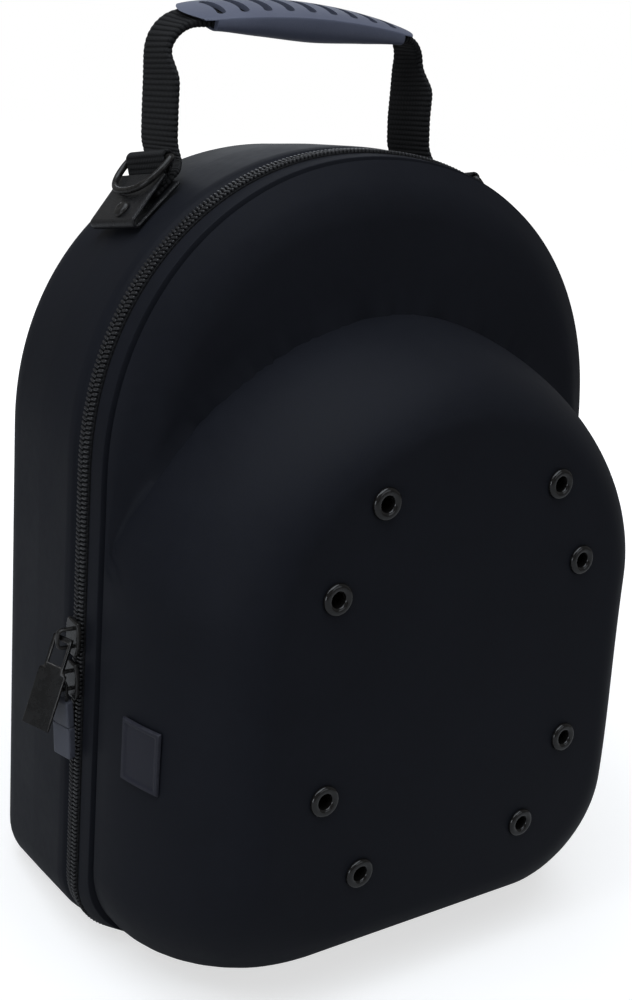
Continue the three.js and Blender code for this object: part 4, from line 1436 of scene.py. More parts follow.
@dataclass
class Zip:
    """Coil zip round the sides and the top, its tapes and the hinge strip under the case."""

    half_width: float = 4.2
    foot: float = 1.6
    coil_top: float = -0.6
    coil_foot: float = 1.3
    bed_inset: float = 0.55
    bed_depth: float = 1.65
    pitch: float = 1.72
    tooth_length: float = 1.12
    tooth_reach: tuple[float, float] = (0.25, 3.75)
    slant_deg: float = 9.0
    tooth_round: float = 0.42
    tooth_segments: int = 2
    tape_inset: float = 2.5
    tape_thickness: float = 0.9
    tape_edge: tuple[float, float] = (0.2, 4.5)
    strip_inset: float = 1.0
    strip_thickness: float = 1.2

    def _path(self, inset: float, y: float) -> list[Vector]:
        """Line of the zip at an inset, from one end of the floor round the arch to the other."""
        line = CASE.line(Row(inset, y, self.foot + inset, CASE.corner - inset))
        return line[CASE.floor_steps : len(line) - CASE.floor_steps + 1]

    def _floor(self, inset: float, y: float) -> list[Vector]:
        """Line of the hinge strip at an inset, along the floor."""
        line = CASE.line(Row(inset, y, self.foot + inset, CASE.corner - inset))
        steps = CASE.floor_steps
        line = [*line[-steps:], *line[: steps + 1]]
        shorter = 1.0 - GAP / (CASE.half - CASE.corner)
        return [Vector((p.x * shorter, p.y, p.z)) for p in line]

    @staticmethod
    def _ribbon(lines: Sequence[Sequence[Vector]]) -> Shape:
        """Band whose section's corners follow lines of equally many points."""
        rings = [list(ring) for ring in zip(*lines)]
        loft = RingLoft(rings[0])
        run = 0.0
        loft.note([p.y for p in rings[0]], run)
        for before, ring in zip(rings, rings[1:]):
            run += (ring[0] - before[0]).length
            loft.draw(ring)
            loft.note([p.y for p in ring], run)
        loft.cap()
        loft.chart_cloth()
        return loft.mesh

    def _flat(self, path: Callable, inset: float, thickness: float, low: float, high: float) -> Shape:
        """Flat band between two depths along a path."""
        corners = [(inset, low), (inset, high), (inset + thickness, high), (inset + thickness, low)]
        return self._ribbon([path(i, y) for i, y in corners])

    def _teeth(self) -> Shape:
        """Two rows of coil turns that mesh along the middle of the chain."""
        mesh = bmesh.new()
        line = self._path((self.coil_top + self.coil_foot) / 2.0, 0.0)
        runs = [0.0]
        for before, point in zip(line, line[1:]):
            runs.append(runs[-1] + (point - before).length)
        count = int(runs[-1] / self.pitch)
        low, high = self.tooth_reach
        at = 0
        for i in range(2 * count):
            run = (i + 0.5) * self.pitch / 2.0
            while runs[at + 1] < run:
                at += 1
            share = (run - runs[at]) / (runs[at + 1] - runs[at])
            along = (line[at + 1] - line[at]).normalized()
            out = AXIS_Y.cross(along).normalized()
            side = 1.0 if i % 2 else -1.0
            centre = line[at].lerp(line[at + 1], share) + AXIS_Y * (side * (low + high) / 2.0)
            slant = Matrix.Rotation(math.radians(side * self.slant_deg), 4, "Z")
            seat = frame_of(along, AXIS_Y, -out, centre) @ slant
            size = Matrix.Diagonal((self.tooth_length, high - low, self.coil_foot - self.coil_top, 1.0))
            bmesh.ops.create_cube(mesh, size=1.0, matrix=seat @ size)
        bmesh.ops.recalc_face_normals(mesh, faces=mesh.faces)
        bevelled(mesh, self.tooth_round, self.tooth_segments)
        return mesh

    def build(self, shop: Workshop) -> None:
        """Makes the coil, its bed, the tapes and the hinge strip."""
        shop.add("zip_coil", self._teeth(), COIL, ["zip_chain"], sharp_deg=ROUND_SHARP_DEG)
        low, high = self.tape_edge
        tape = (self.tape_inset, self.tape_thickness)
        strip = (self.strip_inset, self.strip_thickness)
        bands = (
            ("zip_bed", [], self._path, self.bed_inset, self.bed_depth, -self.half_width, self.half_width),
            ("front_tape", ["zip_tape_front"], self._path, *tape, -high, -low),
            ("rear_tape", ["zip_tape_rear"], self._path, *tape, low, high),
            ("cloth_hinge", ["hinge_strip"], self._floor, *strip, -high, high),
        )
        for name, nodes, path, *sizes in bands:
            shop.add(name, self._flat(path, *sizes), TAPE_CLOTH, nodes)


@dataclass
class Sliders:
    """Two sliders on the left wall, a flat pull on the upper and a moulded pull on the lower."""

    upper_z: float = 134.0
    lower_z: float = 117.0
    length: float = 14.0
    width: float = 10.5
    nose: float = 6.0
    plate: float = 1.8
    shoulder: float = 0.35
    hip: float = 0.6
    tail: float = 0.8
    bridge_length: float = 8.4
    bridge_height: float = 6.2
    bridge_width: float = 2.2
    bridge_bar: float = 1.2
    eye_floor: float = 1.4
    eye_height: float = 3.6
    chain_out: float = 0.6
    plate_round: float = 0.6
    plate_segments: int = 3
    bridge_steps: int = 14
    bridge_columns: int = 4
    bridge_power: float = 0.6
    knee: float = 0.45
    foot_sink: float = 0.5
    sharp_deg: float = 50.0
    upper_rest: tuple[float, float, float] = (34.0, 15.0, 9.0)
    lower_rest: tuple[float, float, float] = (16.0, -4.0, 0.0)

    @property
    def pivot_out(self) -> float:
        """Distance of the pulls' pivot off the chain."""
        return GAP + self.plate + self.eye_floor + self.eye_height / 2.0

    def wall_frame(self, z: float, off: float) -> Matrix:
        """Frame on the left wall: x to the front, y up and z off the wall."""
        place = Vector((-(CASE.half + self.chain_out + off), 0.0, z))
        return frame_of(-AXIS_Y, AXIS_Z, -AXIS_X, place)

    def _slider(self, shop: Workshop, name: str, node: str, z: float, nose_up: bool) -> None:
        """Makes one slider: a rounded shield plate with a bridge over it."""
        half = self.width / 2.0
        end = self.length / 2.0
        side = [
            (self.nose / 2.0, end),
            (half, end * self.shoulder),
            (half, -end * self.hip),
            (half * self.tail, -end),
        ]
        mesh = slab(mirrored(side), self.plate)
        bevelled(mesh, self.plate_round, self.plate_segments)
        if not nose_up:
            mesh.transform(Matrix.Rotation(math.pi, 4, "Z"))
        mesh.transform(Matrix.Translation((0.0, 0.0, self.plate / 2.0)))
        foot = (self.bridge_length - self.bridge_bar) / 2.0
        top = self.plate + self.bridge_height - self.bridge_bar / 2.0
        turns = [math.pi * k / self.bridge_steps for k in range(self.bridge_steps + 1)]
        knee = self.plate + self.bridge_height * self.knee
        power = self.bridge_power
        arch = [
            (foot * signed_power(math.cos(t), power), lerp(knee, top, math.sin(t) ** power)) for t in turns
        ]
        sink = self.plate * self.foot_sink
        line = [(foot, sink), *arch, (-foot, sink)]
        path = [Station(Vector((0.0, y, z_)), AXIS_X, self.bridge_width, self.bridge_bar) for y, z_ in line]
        joined(mesh, band(path, self.bridge_columns))
        mesh.transform(self.wall_frame(z, GAP))
        shop.add(name, mesh, DARK_METAL, [node], sharp_deg=self.sharp_deg)

    def pull_frame(self, z: float, twist_deg: float, swing_deg: float, lean_deg: float) -> Matrix:
        """Frame of a pull in its slider's eye: x along its bar, y up the pull, z off its face.

        Args:
            z: height of the slider.
            twist_deg: turn towards the front.
            swing_deg: swing off the wall.
            lean_deg: lean to the rear.

        Returns:
            The frame.
        """
        twist = math.radians(twist_deg)
        out = Vector((-math.cos(twist), -math.sin(twist), 0.0))
        bar = Vector((-math.sin(twist), math.cos(twist), 0.0))
        swing = Quaternion(bar, math.radians(swing_deg))
        up = swing @ AXIS_Z
        lean = math.radians(lean_deg)
        leaning = up * math.cos(lean) - bar * math.sin(lean)
        across = bar * math.cos(lean) + up * math.sin(lean)
        pivot = self.wall_frame(z, self.pivot_out).translation
        return frame_of(across, leaning, swing @ out, pivot)

    def build(self, shop: Workshop) -> None:
        """Makes both sliders with their pulls."""
        self._slider(shop, "upper_slider", "zip_slider_upper", self.upper_z, False)
        self._slider(shop, "lower_slider", "zip_slider_lower", self.lower_z, True)
        FlatPull().build(shop, self.pull_frame(self.upper_z, *self.upper_rest))
        MouldedPull().build(shop, self.pull_frame(self.lower_z, *self.lower_rest))


@dataclass
class FlatPull:
    """Flat metal pull: a plate under a stirrup whose top bar passes through the bridge."""

    width: float = 11.8
    length: float = 23.0
    thickness: float = 1.3
    neck: float = 8.4
    neck_length: float = 13.0
    slot_width: float = 6.0
    slot_length: float = 9.4
    shoulder: float = 0.8
    edge_round: float = 0.28
    edge_segments: int = 2
    near: float = 1.0
    digits: int = 4

    def build(self, shop: Workshop, place: Matrix) -> None:
        """Makes the pull from a grid whose middle field is the stirrup's slot."""
        bar = (self.neck_length - self.slot_length) / 4.0
        neck_end = bar - self.neck_length
        rows = [
            (bar, self.neck),
            (-bar, self.neck),
            (-bar - self.slot_length, self.neck),
            (neck_end, self.neck),
            (neck_end - self.shoulder, self.width),
            (neck_end - self.length, self.width),
        ]
        mesh = bmesh.new()
        bmesh.ops.create_grid(mesh, x_segments=3, y_segments=len(rows) - 1, size=1.0)
        columns = sorted({round(v.co.x, self.digits) for v in mesh.verts})
        lines = sorted({round(v.co.y, self.digits) for v in mesh.verts}, reverse=True)
        for vert in mesh.verts:
            y, width = rows[lines.index(round(vert.co.y, self.digits))]
            places = (-width / 2.0, -self.slot_width / 2.0, self.slot_width / 2.0, width / 2.0)
            x = places[columns.index(round(vert.co.x, self.digits))]
            vert.co = Vector((x, y, -self.thickness / 2.0))
        middle = [f for f in mesh.faces if abs(f.calc_center_median().x) < self.near]
        slot_y = -bar - self.slot_length / 2.0
        slot = [f for f in middle if abs(f.calc_center_median().y - slot_y) < self.near]
        bmesh.ops.delete(mesh, geom=slot, context="FACES")
        thicken(mesh, list(mesh.faces), self.thickness)
        bmesh.ops.recalc_face_normals(mesh, faces=mesh.faces)
        bevelled(mesh, self.edge_round, self.edge_segments)
        mesh.transform(place)
        shop.add("flat_pull", mesh, WORN_GLINTING_PLATE, ["zip_pull_upper"], Body.PULL_UPPER)


@dataclass
class MouldedPull:
    """Moulded rubber pull with a groove across it, on a wire link."""

    top_width: float = 5.0
    width: float = 9.5
    wedge: float = 10.5
    length: float = 24.0
    thickness: float = 3.4
    drop: float = 7.6
    link_width: float = 6.0
    wire: float = 1.2
    seat: float = 3.2
    groove: float = 0.45
    groove_half: float = 0.7
    near: float = 0.01
    edge_round: float = 0.7
    edge_segments: int = 3
    link_steps: int = 48
    link_power: float = 0.4
    wire_sides: int = 12

    def build(self, shop: Workshop, place: Matrix) -> None:
        """Makes the rubber body and its link."""
        top = self.top_width / 2.0 + self.link_width / 4.0
        wide = self.width / 2.0
        side = [(top, -self.drop), (wide, -self.drop - self.wedge), (wide, -self.drop - self.length)]
        mesh = slab(mirrored(side), self.thickness)
        bevelled(mesh, self.edge_round, self.edge_segments)
        line = -self.drop - self.wedge
        for offset in (self.groove_half, 0.0, -self.groove_half):
            bmesh.ops.bisect_plane(
                mesh,
                geom=[*mesh.verts, *mesh.edges, *mesh.faces],
                plane_co=(0.0, line + offset, 0.0),
                plane_no=(0.0, 1.0, 0.0),
            )
        for vert in mesh.verts:
            if abs(vert.co.y - line) < self.near:
                vert.co.z *= 1.0 - self.groove / (self.thickness / 2.0)
                vert.co.x *= 1.0 - self.groove / wide
        mesh.transform(place)
        shop.add("rubber_pull", mesh, PULL_RUBBER, ["zip_pull_lower"], Body.PULL_LOWER)
        half = (self.link_width - self.wire) / 2.0
        low = -(self.drop + self.seat) + self.wire / 2.0
        path = []
        for turn in range(self.link_steps):
            angle = 2.0 * math.pi * turn / self.link_steps
            x = half * signed_power(math.cos(angle), self.link_power)
            y = low / 2.0 - low / 2.0 * signed_power(math.sin(angle), self.link_power)
            path.append(Vector((x, y, 0.0)))
        link = wire_ring(path, self.wire / 2.0, self.wire_sides, AXIS_Z)
        link.transform(place)
        shop.add("wire_link", link, DARK_METAL, ["zip_link_lower"], Body.PULL_LOWER, ROUND_SHARP_DEG)


@dataclass
class Anchor:
    """Anchor on a shoulder: folded leather tab, rivet, webbing loop and D-ring."""

    angle_deg: float = 41.5
    y: float = 41.0
    turn_deg: float = 10.0
    tab_width: float = 28.8
    tab_across: float = -2.4
    leather: float = 1.6
    tab_lower: float = 1.3
    fold_up: float = -13.0
    fold_gap: float = 1.4
    lower_top: float = 11.0
    upper: float = 7.4
    upper_top: float = 8.0
    loop_width: float = 24.4
    loop_across: float = -3.2
    loop_webbing: float = 0.6
    loop_seat: float = 6.0
    loop_bottom: float = 5.0
    loop_bend: float = 8.5
    eye_up: float = 14.0
    eye_out: float = 11.2
    eye_radius: float = 2.35
    eye_webbing: float = 1.3
    ring_wire: float = 1.3
    ring_bar: float = 27.4
    ring_depth: float = 16.5
    ring_shoulder: float = 1.2
    ring_spread: float = 0.4
    ring_power: float = 2.4
    ring_tilt_deg: float = 5.0
    rivet_up: float = -9.4
    rivet_across: float = -6.0
    rivet_radius: float = 3.4
    rivet_height: float = 1.6
    rivet_profile: tuple[tuple[float, float], ...] = (
        (0.0, 0.0),
        (0.96, 0.0),
        (1.0, 0.16),
        (0.97, 0.42),
        (0.86, 0.68),
        (0.66, 0.9),
        (0.42, 1.0),
        (0.2, 0.95),
        (0.0, 0.9),
    )
    rivet_sides: int = 36
    columns: int = 14
    layer_steps: int = 12
    loop_steps: int = 16
    bar_steps: int = 14
    bow_steps: int = 40
    wire_sides: int = 16

    def point(self, side: Side, up: float, out: float, y: float = 0.0) -> Vector:
        """Place at the anchor.

        Args:
            side: the shoulder.
            up: way along the wall towards the top of the arch.
            out: distance off the wall.
            y: place across the tab.

        Returns:
            The place, about the zip plane.
        """
        angle = math.radians(self.angle_deg)
        power = CASE.arch_power
        bulge = (math.sin(angle) ** power + math.cos(angle) ** power) ** (-1.0 / power)
        turn = math.radians(self.turn_deg)
        along = up * math.cos(turn) - y * math.sin(turn)
        back = up * math.sin(turn) + y * math.cos(turn)
        reach = CASE.half * bulge + out
        x = reach * math.sin(angle) - along * math.cos(angle)
        z = CASE.arch_z + reach * math.cos(angle) + along * math.sin(angle)
        return Vector((side.value * x, self.y + back, z))

    def across(self, side: Side) -> Vector:
        """Direction across the tab."""
        return self.point(side, 0.0, 0.0, 1.0) - self.point(side, 0.0, 0.0)

    def outward(self, side: Side) -> Vector:
        """Direction off the wall."""
        return self.point(side, 0.0, 1.0) - self.point(side, 0.0, 0.0)

    def _underside(self, up: float) -> float:
        """Distance of the tab's upper layer off the wall, at its underside."""
        start = self.tab_lower + self.leather + self.fold_gap
        return lerp(start, self.upper, (up - self.fold_up) / (self.upper_top - self.fold_up))

    def _band(
        self, side: Side, line: Sequence[tuple[float, float, float]], width: float, shift: float = 0.0
    ) -> Shape:
        """Band across the anchor along a line.

        Args:
            side: the shoulder.
            line: places up the wall and off it, and the thickness there.
            width: the band's width.
            shift: place of the band's middle across the anchor.

        Returns:
            The band's mesh.
        """
        across = self.across(side)
        places = [Station(self.point(side, up, out, shift), across, width, thick) for up, out, thick in line]
        return band(measured(places), self.columns)

    def _tab_line(self) -> list[tuple[float, float, float]]:
        """Middle line of the tab's leather, from its lower end round the fold to its upper end."""
        half = self.leather / 2.0
        lower = self.tab_lower + half
        radius = (self.fold_gap + self.leather) / 2.0
        middle = lower + radius
        steps = self.layer_steps
        line = [(lerp(self.lower_top, self.fold_up, i / steps), lower) for i in range(steps)]
        for step in range(steps + 1):
            turn = math.pi * (1.5 - step / steps)
            line.append((self.fold_up + radius * math.cos(turn), middle + radius * math.sin(turn)))
        for i in range(1, steps + 1):
            up = lerp(self.fold_up, self.upper_top, i / steps)
            line.append((up, self._underside(up) + half))
        return [(up, out, self.leather) for up, out in line]

    def _loop_line(self) -> list[tuple[float, float, float]]:
        """Middle line of the loop's webbing: up from the seat, round the ring's bar and down again."""
        thin = self.loop_webbing
        low, high = self.loop_seat - thin / 2.0, self.loop_seat + thin / 2.0
        rise = math.atan2(self.eye_out - self.loop_seat, self.eye_up - self.loop_bend)
        line = [(self.loop_bottom, low, thin), (self.loop_bend, low, thin)]
        for step in range(self.loop_steps + 1):
            turn = rise + math.pi * (step / self.loop_steps - 0.5)
            up = self.eye_up + self.eye_radius * math.cos(turn)
            line.append((up, self.eye_out + self.eye_radius * math.sin(turn), self.eye_webbing))
        line.extend([(self.loop_bend, high, thin), (self.loop_bottom, high, thin)])
        return line

    def _ring(self, side: Side) -> Shape:
        """The D-ring: a straight bar in the loop and a bow that hangs over the tab."""
        half = self.ring_bar / 2.0
        spine = [(lerp(-half, half, i / self.bar_steps), 0.0) for i in range(self.bar_steps)]
        for i in range(self.bow_steps + 1):
            turn = math.pi * i / self.bow_steps
            across = (half + self.ring_spread) * signed_power(math.cos(turn), 2.0 / self.ring_power)
            drop = (self.ring_depth - self.ring_shoulder) * abs(math.sin(turn)) ** (2.0 / self.ring_power)
            spine.append((across, self.ring_shoulder + drop))
        tilt = math.radians(self.ring_tilt_deg)
        path = []
        for y, drop in spine:
            up = self.eye_up - drop * math.cos(tilt)
            path.append(self.point(side, up, self.eye_out - drop * math.sin(tilt), y + self.loop_across))
        return wire_ring(path, self.ring_wire, self.wire_sides, self.outward(side))

    def _rivet(self, side: Side) -> Shape:
        """Domed rivet head with a rolled rim and a dimple, on the tab."""
        radius, height = self.rivet_radius, self.rivet_height
        profile = [(radius * across, height * up) for across, up in self.rivet_profile]
        mesh = lathe(profile, self.rivet_sides)

        def face(up: float) -> Vector:
            """Point on the tab's upper face."""
            return self.point(side, up, self._underside(up) + self.leather, self.rivet_across)

        along = (face(self.rivet_up + SLOPE_STEP) - face(self.rivet_up - SLOPE_STEP)).normalized()
        out = self.outward(side)
        out = (out - along * out.dot(along)).normalized()
        turn = AXIS_Y.rotation_difference(out).to_matrix().to_4x4()
        mesh.transform(Matrix.Translation(face(self.rivet_up) + out * GAP) @ turn)
        return mesh

    def build(self, shop: Workshop) -> None:
        """Makes both anchors."""
        bodies = {Side.LEFT: Body.RING_LEFT, Side.RIGHT: Body.RING_RIGHT}
        for side in Side:
            tab = self._band(side, self._tab_line(), self.tab_width, self.tab_across)
            shop.add(f"leather_tab_{side.label}", tab, LEATHER, [f"anchor_tab_{side.label}"])
            loop = self._band(side, self._loop_line(), self.loop_width, self.loop_across)
            shop.add(f"webbing_loop_{side.label}", loop, WEBBING, [f"ring_loop_{side.label}"])
            rivet = self._rivet(side)
            shop.add(f"tab_rivet_{side.label}", rivet, DARK_METAL, [f"anchor_rivet_{side.label}"])
            ring, body = self._ring(side), bodies[side]
            node = f"d_ring_{side.label}"
            shop.add(f"dee_{side.label}", ring, DARK_METAL, [node], body, ROUND_SHARP_DEG)


@dataclass
class Handle:
    """Carrying handle: a webbing strap from shoulder to shoulder through a moulded grip."""

    anchor: Anchor
    width: float = 29.5
    thickness: float = 1.8
    folded_width: float = 20.0
    folded_thickness: float = 3.0
    x: float = 61.5
    bend: float = 13.0
    grip_y: float = 62.5
    seat_out: float = 4.2
    seat_ups: tuple[float, ...] = (1.2, 11.6, 15.0)
    rise: tuple[tuple[float, float, float], ...] = (
        (1.2, 6.4, 0.6),
        (0.3, 14.0, 0.94),
        (0.0, 26.0, 1.0),
        (0.0, 38.0, 1.0),
    )
    bend_steps: int = 5
    bend_shift: float = 4.6
    grip_z: float = 360.8
    grip_steps: int = 8
    arch: float = 3.6
    tilt_deg: float = 16.0
    slope: float = 0.05
    rib: float = 2.1
    rib_height: float = 0.16
    edge_wave: float = 0.22
    ease: float = 3.0
    rib_steps: int = 6
    columns: int = 8
    sharp_deg: float = 70.0

    def lift(self, x: float) -> float:
        """Rise of the arched grip, and of the strap in it, at a place along the handle."""
        return self.arch * (1.0 - (x / (self.x - self.bend)) ** 2)

    def _side(self, side: Side) -> list[Station]:
        """Stations of the strap on one side, from its seat under the tab to the middle of the grip."""
        across = self.anchor.across(side)
        flat = (self.width, self.thickness)
        seats = [self.anchor.point(side, up, self.seat_out) for up in self.seat_ups]
        stations = [Station(seat, across, *flat) for seat in seats]
        leave = stations[-1].centre
        for outward, above, lean in self.rise:
            x = side.value * (self.x + outward)
            y = lerp(leave.y, self.grip_y, lean)
            stations.append(Station(Vector((x, y, leave.z + above + lean * self.slope * x)), AXIS_Y, *flat))
        for step in range(self.bend_steps + 1):
            share = step / self.bend_steps
            turn = math.pi / 2.0 * share
            x = side.value * (self.x - self.bend + self.bend * math.cos(turn))
            z = self.grip_z - self.bend + self.bend * math.sin(turn) + self.slope * x
            along = Vector((-side.value * math.sin(turn), 0.0, math.cos(turn)))
            across = Quaternion(along, -side.value * math.radians(self.tilt_deg) * share) @ AXIS_Y
            place = Vector((x, self.grip_y + self.bend_shift * (1.0 - share), z))
            stations.append(Station(place, across, self.folded_width, self.folded_thickness))
        end, tilt = stations[-1], math.radians(self.tilt_deg)
        for step in range(1, self.grip_steps + 1):
            x = end.centre.x * (1.0 - step / self.grip_steps)
            y = self.grip_y - self.lift(x) * math.sin(tilt)
            z = self.grip_z + self.slope * x + self.lift(x) * math.cos(tilt)
            stations.append(Station(Vector((x, y, z)), end.across, end.width, end.thickness))
        return stations

    @staticmethod
    def _even(stations: Sequence[Station], step: float) -> list[Station]:
        """Stations at an even step along a strap."""
        marks = measured(stations)
        result = []
        at = 0
        for i in range(int(marks[-1].along / step) + 1):
            run = i * step
            while at + 2 < len(marks) and marks[at + 1].along < run:
                at += 1
            here, ahead = marks[at], marks[at + 1]
            share = (run - here.along) / max(ahead.along - here.along, LEAST_RUN)
            result.append(
                Station(
                    here.centre.lerp(ahead.centre, share),
                    here.across.lerp(ahead.across, share),
                    lerp(here.width, ahead.width, share),
                    lerp(here.thickness, ahead.thickness, share),
                    run,
                )
            )
        return result

    def _flowing(self, stations: Sequence[Station], step: float) -> list[Station]:
        """Stations with their bends eased by a running mean, and swelled by the ribs.

        Args:
            stations: stations at an even step.
            step: the distance between two of them.

        Returns:
            The eased stations.
        """
        reach = int(self.ease / step)
        result = []
        for i, station in enumerate(stations):
            span = min(reach, i, len(stations) - 1 - i)
            near = stations[i - span : i + span + 1]
            count = len(near)
            wave = 2.0 * abs(math.sin(math.pi * station.along / self.rib)) - 1.0
            result.append(
                Station(
                    sum((s.centre for s in near), Vector()) / count,
                    sum((s.across for s in near), Vector()) / count,
                    sum(s.width for s in near) / count + self.edge_wave * wave,
                    sum(s.thickness for s in near) / count + self.rib_height * wave,
                    station.along,
                )
            )
        return result

    def build(self, shop: Workshop) -> None:
        """Makes the strap and the grip."""
        step = self.rib / self.rib_steps
        stations = [*self._side(Side.LEFT), *reversed(self._side(Side.RIGHT)[:-1])]
        strap = band(self._flowing(self._even(stations, step), step), self.columns)
        shop.add("webbing_strap", strap, WEBBING, ["handle_strap"], sharp_deg=self.sharp_deg)
        Grip().build(shop, self)


@dataclass
class Grip:
    """Moulded grip: rounded sections, a channel for the strap and slots through its top."""

    stations: tuple[tuple[float, float, float, float, float], ...] = (
        (-1.0, 12.0, 2.4, 2.4, 0.6),
        (-0.82, 13.2, 2.8, 2.5, 1.0),
        (-0.45, 14.5, 5.6, 2.7, 1.4),
        (0.0, 15.0, 7.4, 2.8, 1.6),
        (0.45, 14.5, 5.6, 2.7, 1.4),
        (0.82, 13.2, 2.8, 2.5, 1.0),
        (1.0, 12.0, 2.4, 2.4, 0.6),
    )
    profile: tuple[tuple[float, float, float, float], ...] = (
        (0.72, -1.0, 0.0, 0.0),
        (1.0, -0.45, 0.0, 0.0),
        (1.0, 0.0, 0.75, 0.0),
        (0.9, 0.0, 1.0, 0.2),
        (0.45, 0.0, 1.0, 0.85),
        (0.0, 0.0, 1.0, 1.0),
    )
    half_length: float = 55.0
    round_from: float = 0.82
    end_round: float = 5.0
    open_end: float = 10.0
    channel_width: float = 21.0
    channel_height: float = 3.9
    slot_count: int = 9
    slot_pitch: float = 10.4
    slot_width: float = 4.0
    slot_length: float = 18.0
    slot_bow: float = 1.6
    reach: float = 60.0
    bar_steps: int = 24
    past_end: float = 1.0
    slot_steps: int = 10
    section_steps: int = 4
    run_steps: int = 10
    sharp_deg: float = 32.0
    edge_round: float = 0.35
    edge_segments: int = 2
    edge_deg: float = 40.0

    def _ring(self, x: float, sizes: Vector, top: float) -> list[Vector]:
        """Points round the grip at one place along it.

        Args:
            x: place along the grip.
            sizes: half width, belly and rim there.
            top: the dome's height there.

        Returns:
            The ring of points, before the arch lifts it.
        """
        corners = []
        for across, belly, rim, dome in self.profile:
            height = sizes.y * belly + sizes.z * rim + top * dome
            corners.append(Vector((sizes.x * across, height, 0.0)))
        below = Vector((0.0, -sizes.y, 0.0))
        half = spline([below, *corners], self.section_steps)
        other = [Vector((-p.x, p.y, 0.0)) for p in reversed(half[1:-1])]
        past = max(abs(x) / self.half_length - self.round_from, 0.0) / (1.0 - self.round_from)
        pull = math.copysign(self.end_round * past, x)
        return [Vector((x - pull * (p.x / sizes.x) ** 2, p.x, p.y)) for p in [*half, *other]]

    def _body(self, handle: Handle) -> Shape:
        """The grip before it is cut."""
        ends = spline([Vector((s[0], s[4], 0.0)) for s in self.stations], self.run_steps)
        sizes = spline([Vector(s[1:4]) for s in self.stations], self.run_steps)
        rings = [self._ring(self.half_length * e.x, s, e.y) for e, s in zip(ends, sizes)]
        return self._lifted(handle, rings)

    @staticmethod
    def _lifted(handle: Handle, rings: Sequence[Sequence[Vector]]) -> Shape:
        """Closed skin over rings that the handle's arch lifts."""
        loft = RingLoft.through([[p + AXIS_Z * handle.lift(p.x) for p in ring] for ring in rings])
        loft.cap()
        return loft.mesh

    def _bar(self, handle: Handle, run: tuple[float, float], width: float, floor: float) -> Shape:
        """Bar under the channel's roof.

        Args:
            handle: the handle whose arch it follows.
            run: places along the handle at which it starts and ends.
            width: its width.
            floor: its underside.

        Returns:
            The bar's mesh.
        """
        side, roof = width / 2.0, self.channel_height / 2.0
        corners = ((-side, floor), (side, floor), (side, roof), (-side, roof))
        places = [lerp(*run, step / self.bar_steps) for step in range(self.bar_steps + 1)]
        return self._lifted(handle, [[Vector((x, y, z)) for y, z in corners] for x in places])

    def _tools(self, handle: Handle) -> Shape:
        """Volumes that are cut from the grip: its channel, its open ends and its slots."""
        end = self.half_length + self.past_end
        start = self.half_length - self.open_end
        mesh = self._bar(handle, (-end, end), self.channel_width, -self.channel_height / 2.0)
        joined(mesh, self._bar(handle, (-end, -start), self.reach, -self.reach))
        joined(mesh, self._bar(handle, (start, end), self.reach, -self.reach))
        for i in range(self.slot_count):
            x = (i - (self.slot_count - 1) / 2.0) * self.slot_pitch
            slot = slab(self._slot(x), self.reach)
            slot.transform(Matrix.Translation((0.0, 0.0, handle.lift(x) + self.reach / 2.0)))
            joined(mesh, slot)
        return mesh

    def _slot(self, x: float) -> list[tuple[float, float]]:
        """Outline of a bowed slot with round ends across the grip, at a place along it."""
        half = self.slot_length / 2.0
        round_off = self.slot_width / 2.0
        middle, wide = [], []
        for step in range(-self.slot_steps, self.slot_steps + 1):
            y = half * math.sin(math.pi / (2.0 * self.slot_steps) * step)
            past = max(abs(y) - half + round_off, 0.0)
            middle.append((x + self.slot_bow * (1.0 - (y / half) ** 2), y))
            wide.append(math.sqrt(max(round_off**2 - past**2, 0.0)))
        right = [(m + w, y) for (m, y), w in zip(middle, wide)]
        left = [(m - w, y) for (m, y), w in zip(middle, wide)]
        return [*right, *reversed(left[1:-1])]

    def build(self, shop: Workshop, handle: Handle) -> None:
        """Makes the grip round the handle's strap."""
        place = (
            Matrix.Translation((0.0, handle.grip_y, handle.grip_z))
            @ Matrix.Rotation(-math.atan(handle.slope), 4, "Y")
            @ Matrix.Rotation(math.radians(handle.tilt_deg), 4, "X")
        )
        body = self._body(handle)
        tools = self._tools(handle)
        body.transform(place)
        tools.transform(place)
        data = shop.cut(body, tools, overlapping=True)
        piece = shop.place("moulded_grip", data, GRIP_RUBBER, ["handle_grip"], sharp_deg=self.sharp_deg)
        edge = piece.modifiers.new("soft_edge", "BEVEL")
        edge.width = self.edge_round * MILLIMETRE
        edge.segments = self.edge_segments
        edge.limit_method = "ANGLE"
        edge.angle_limit = math.radians(self.edge_deg)


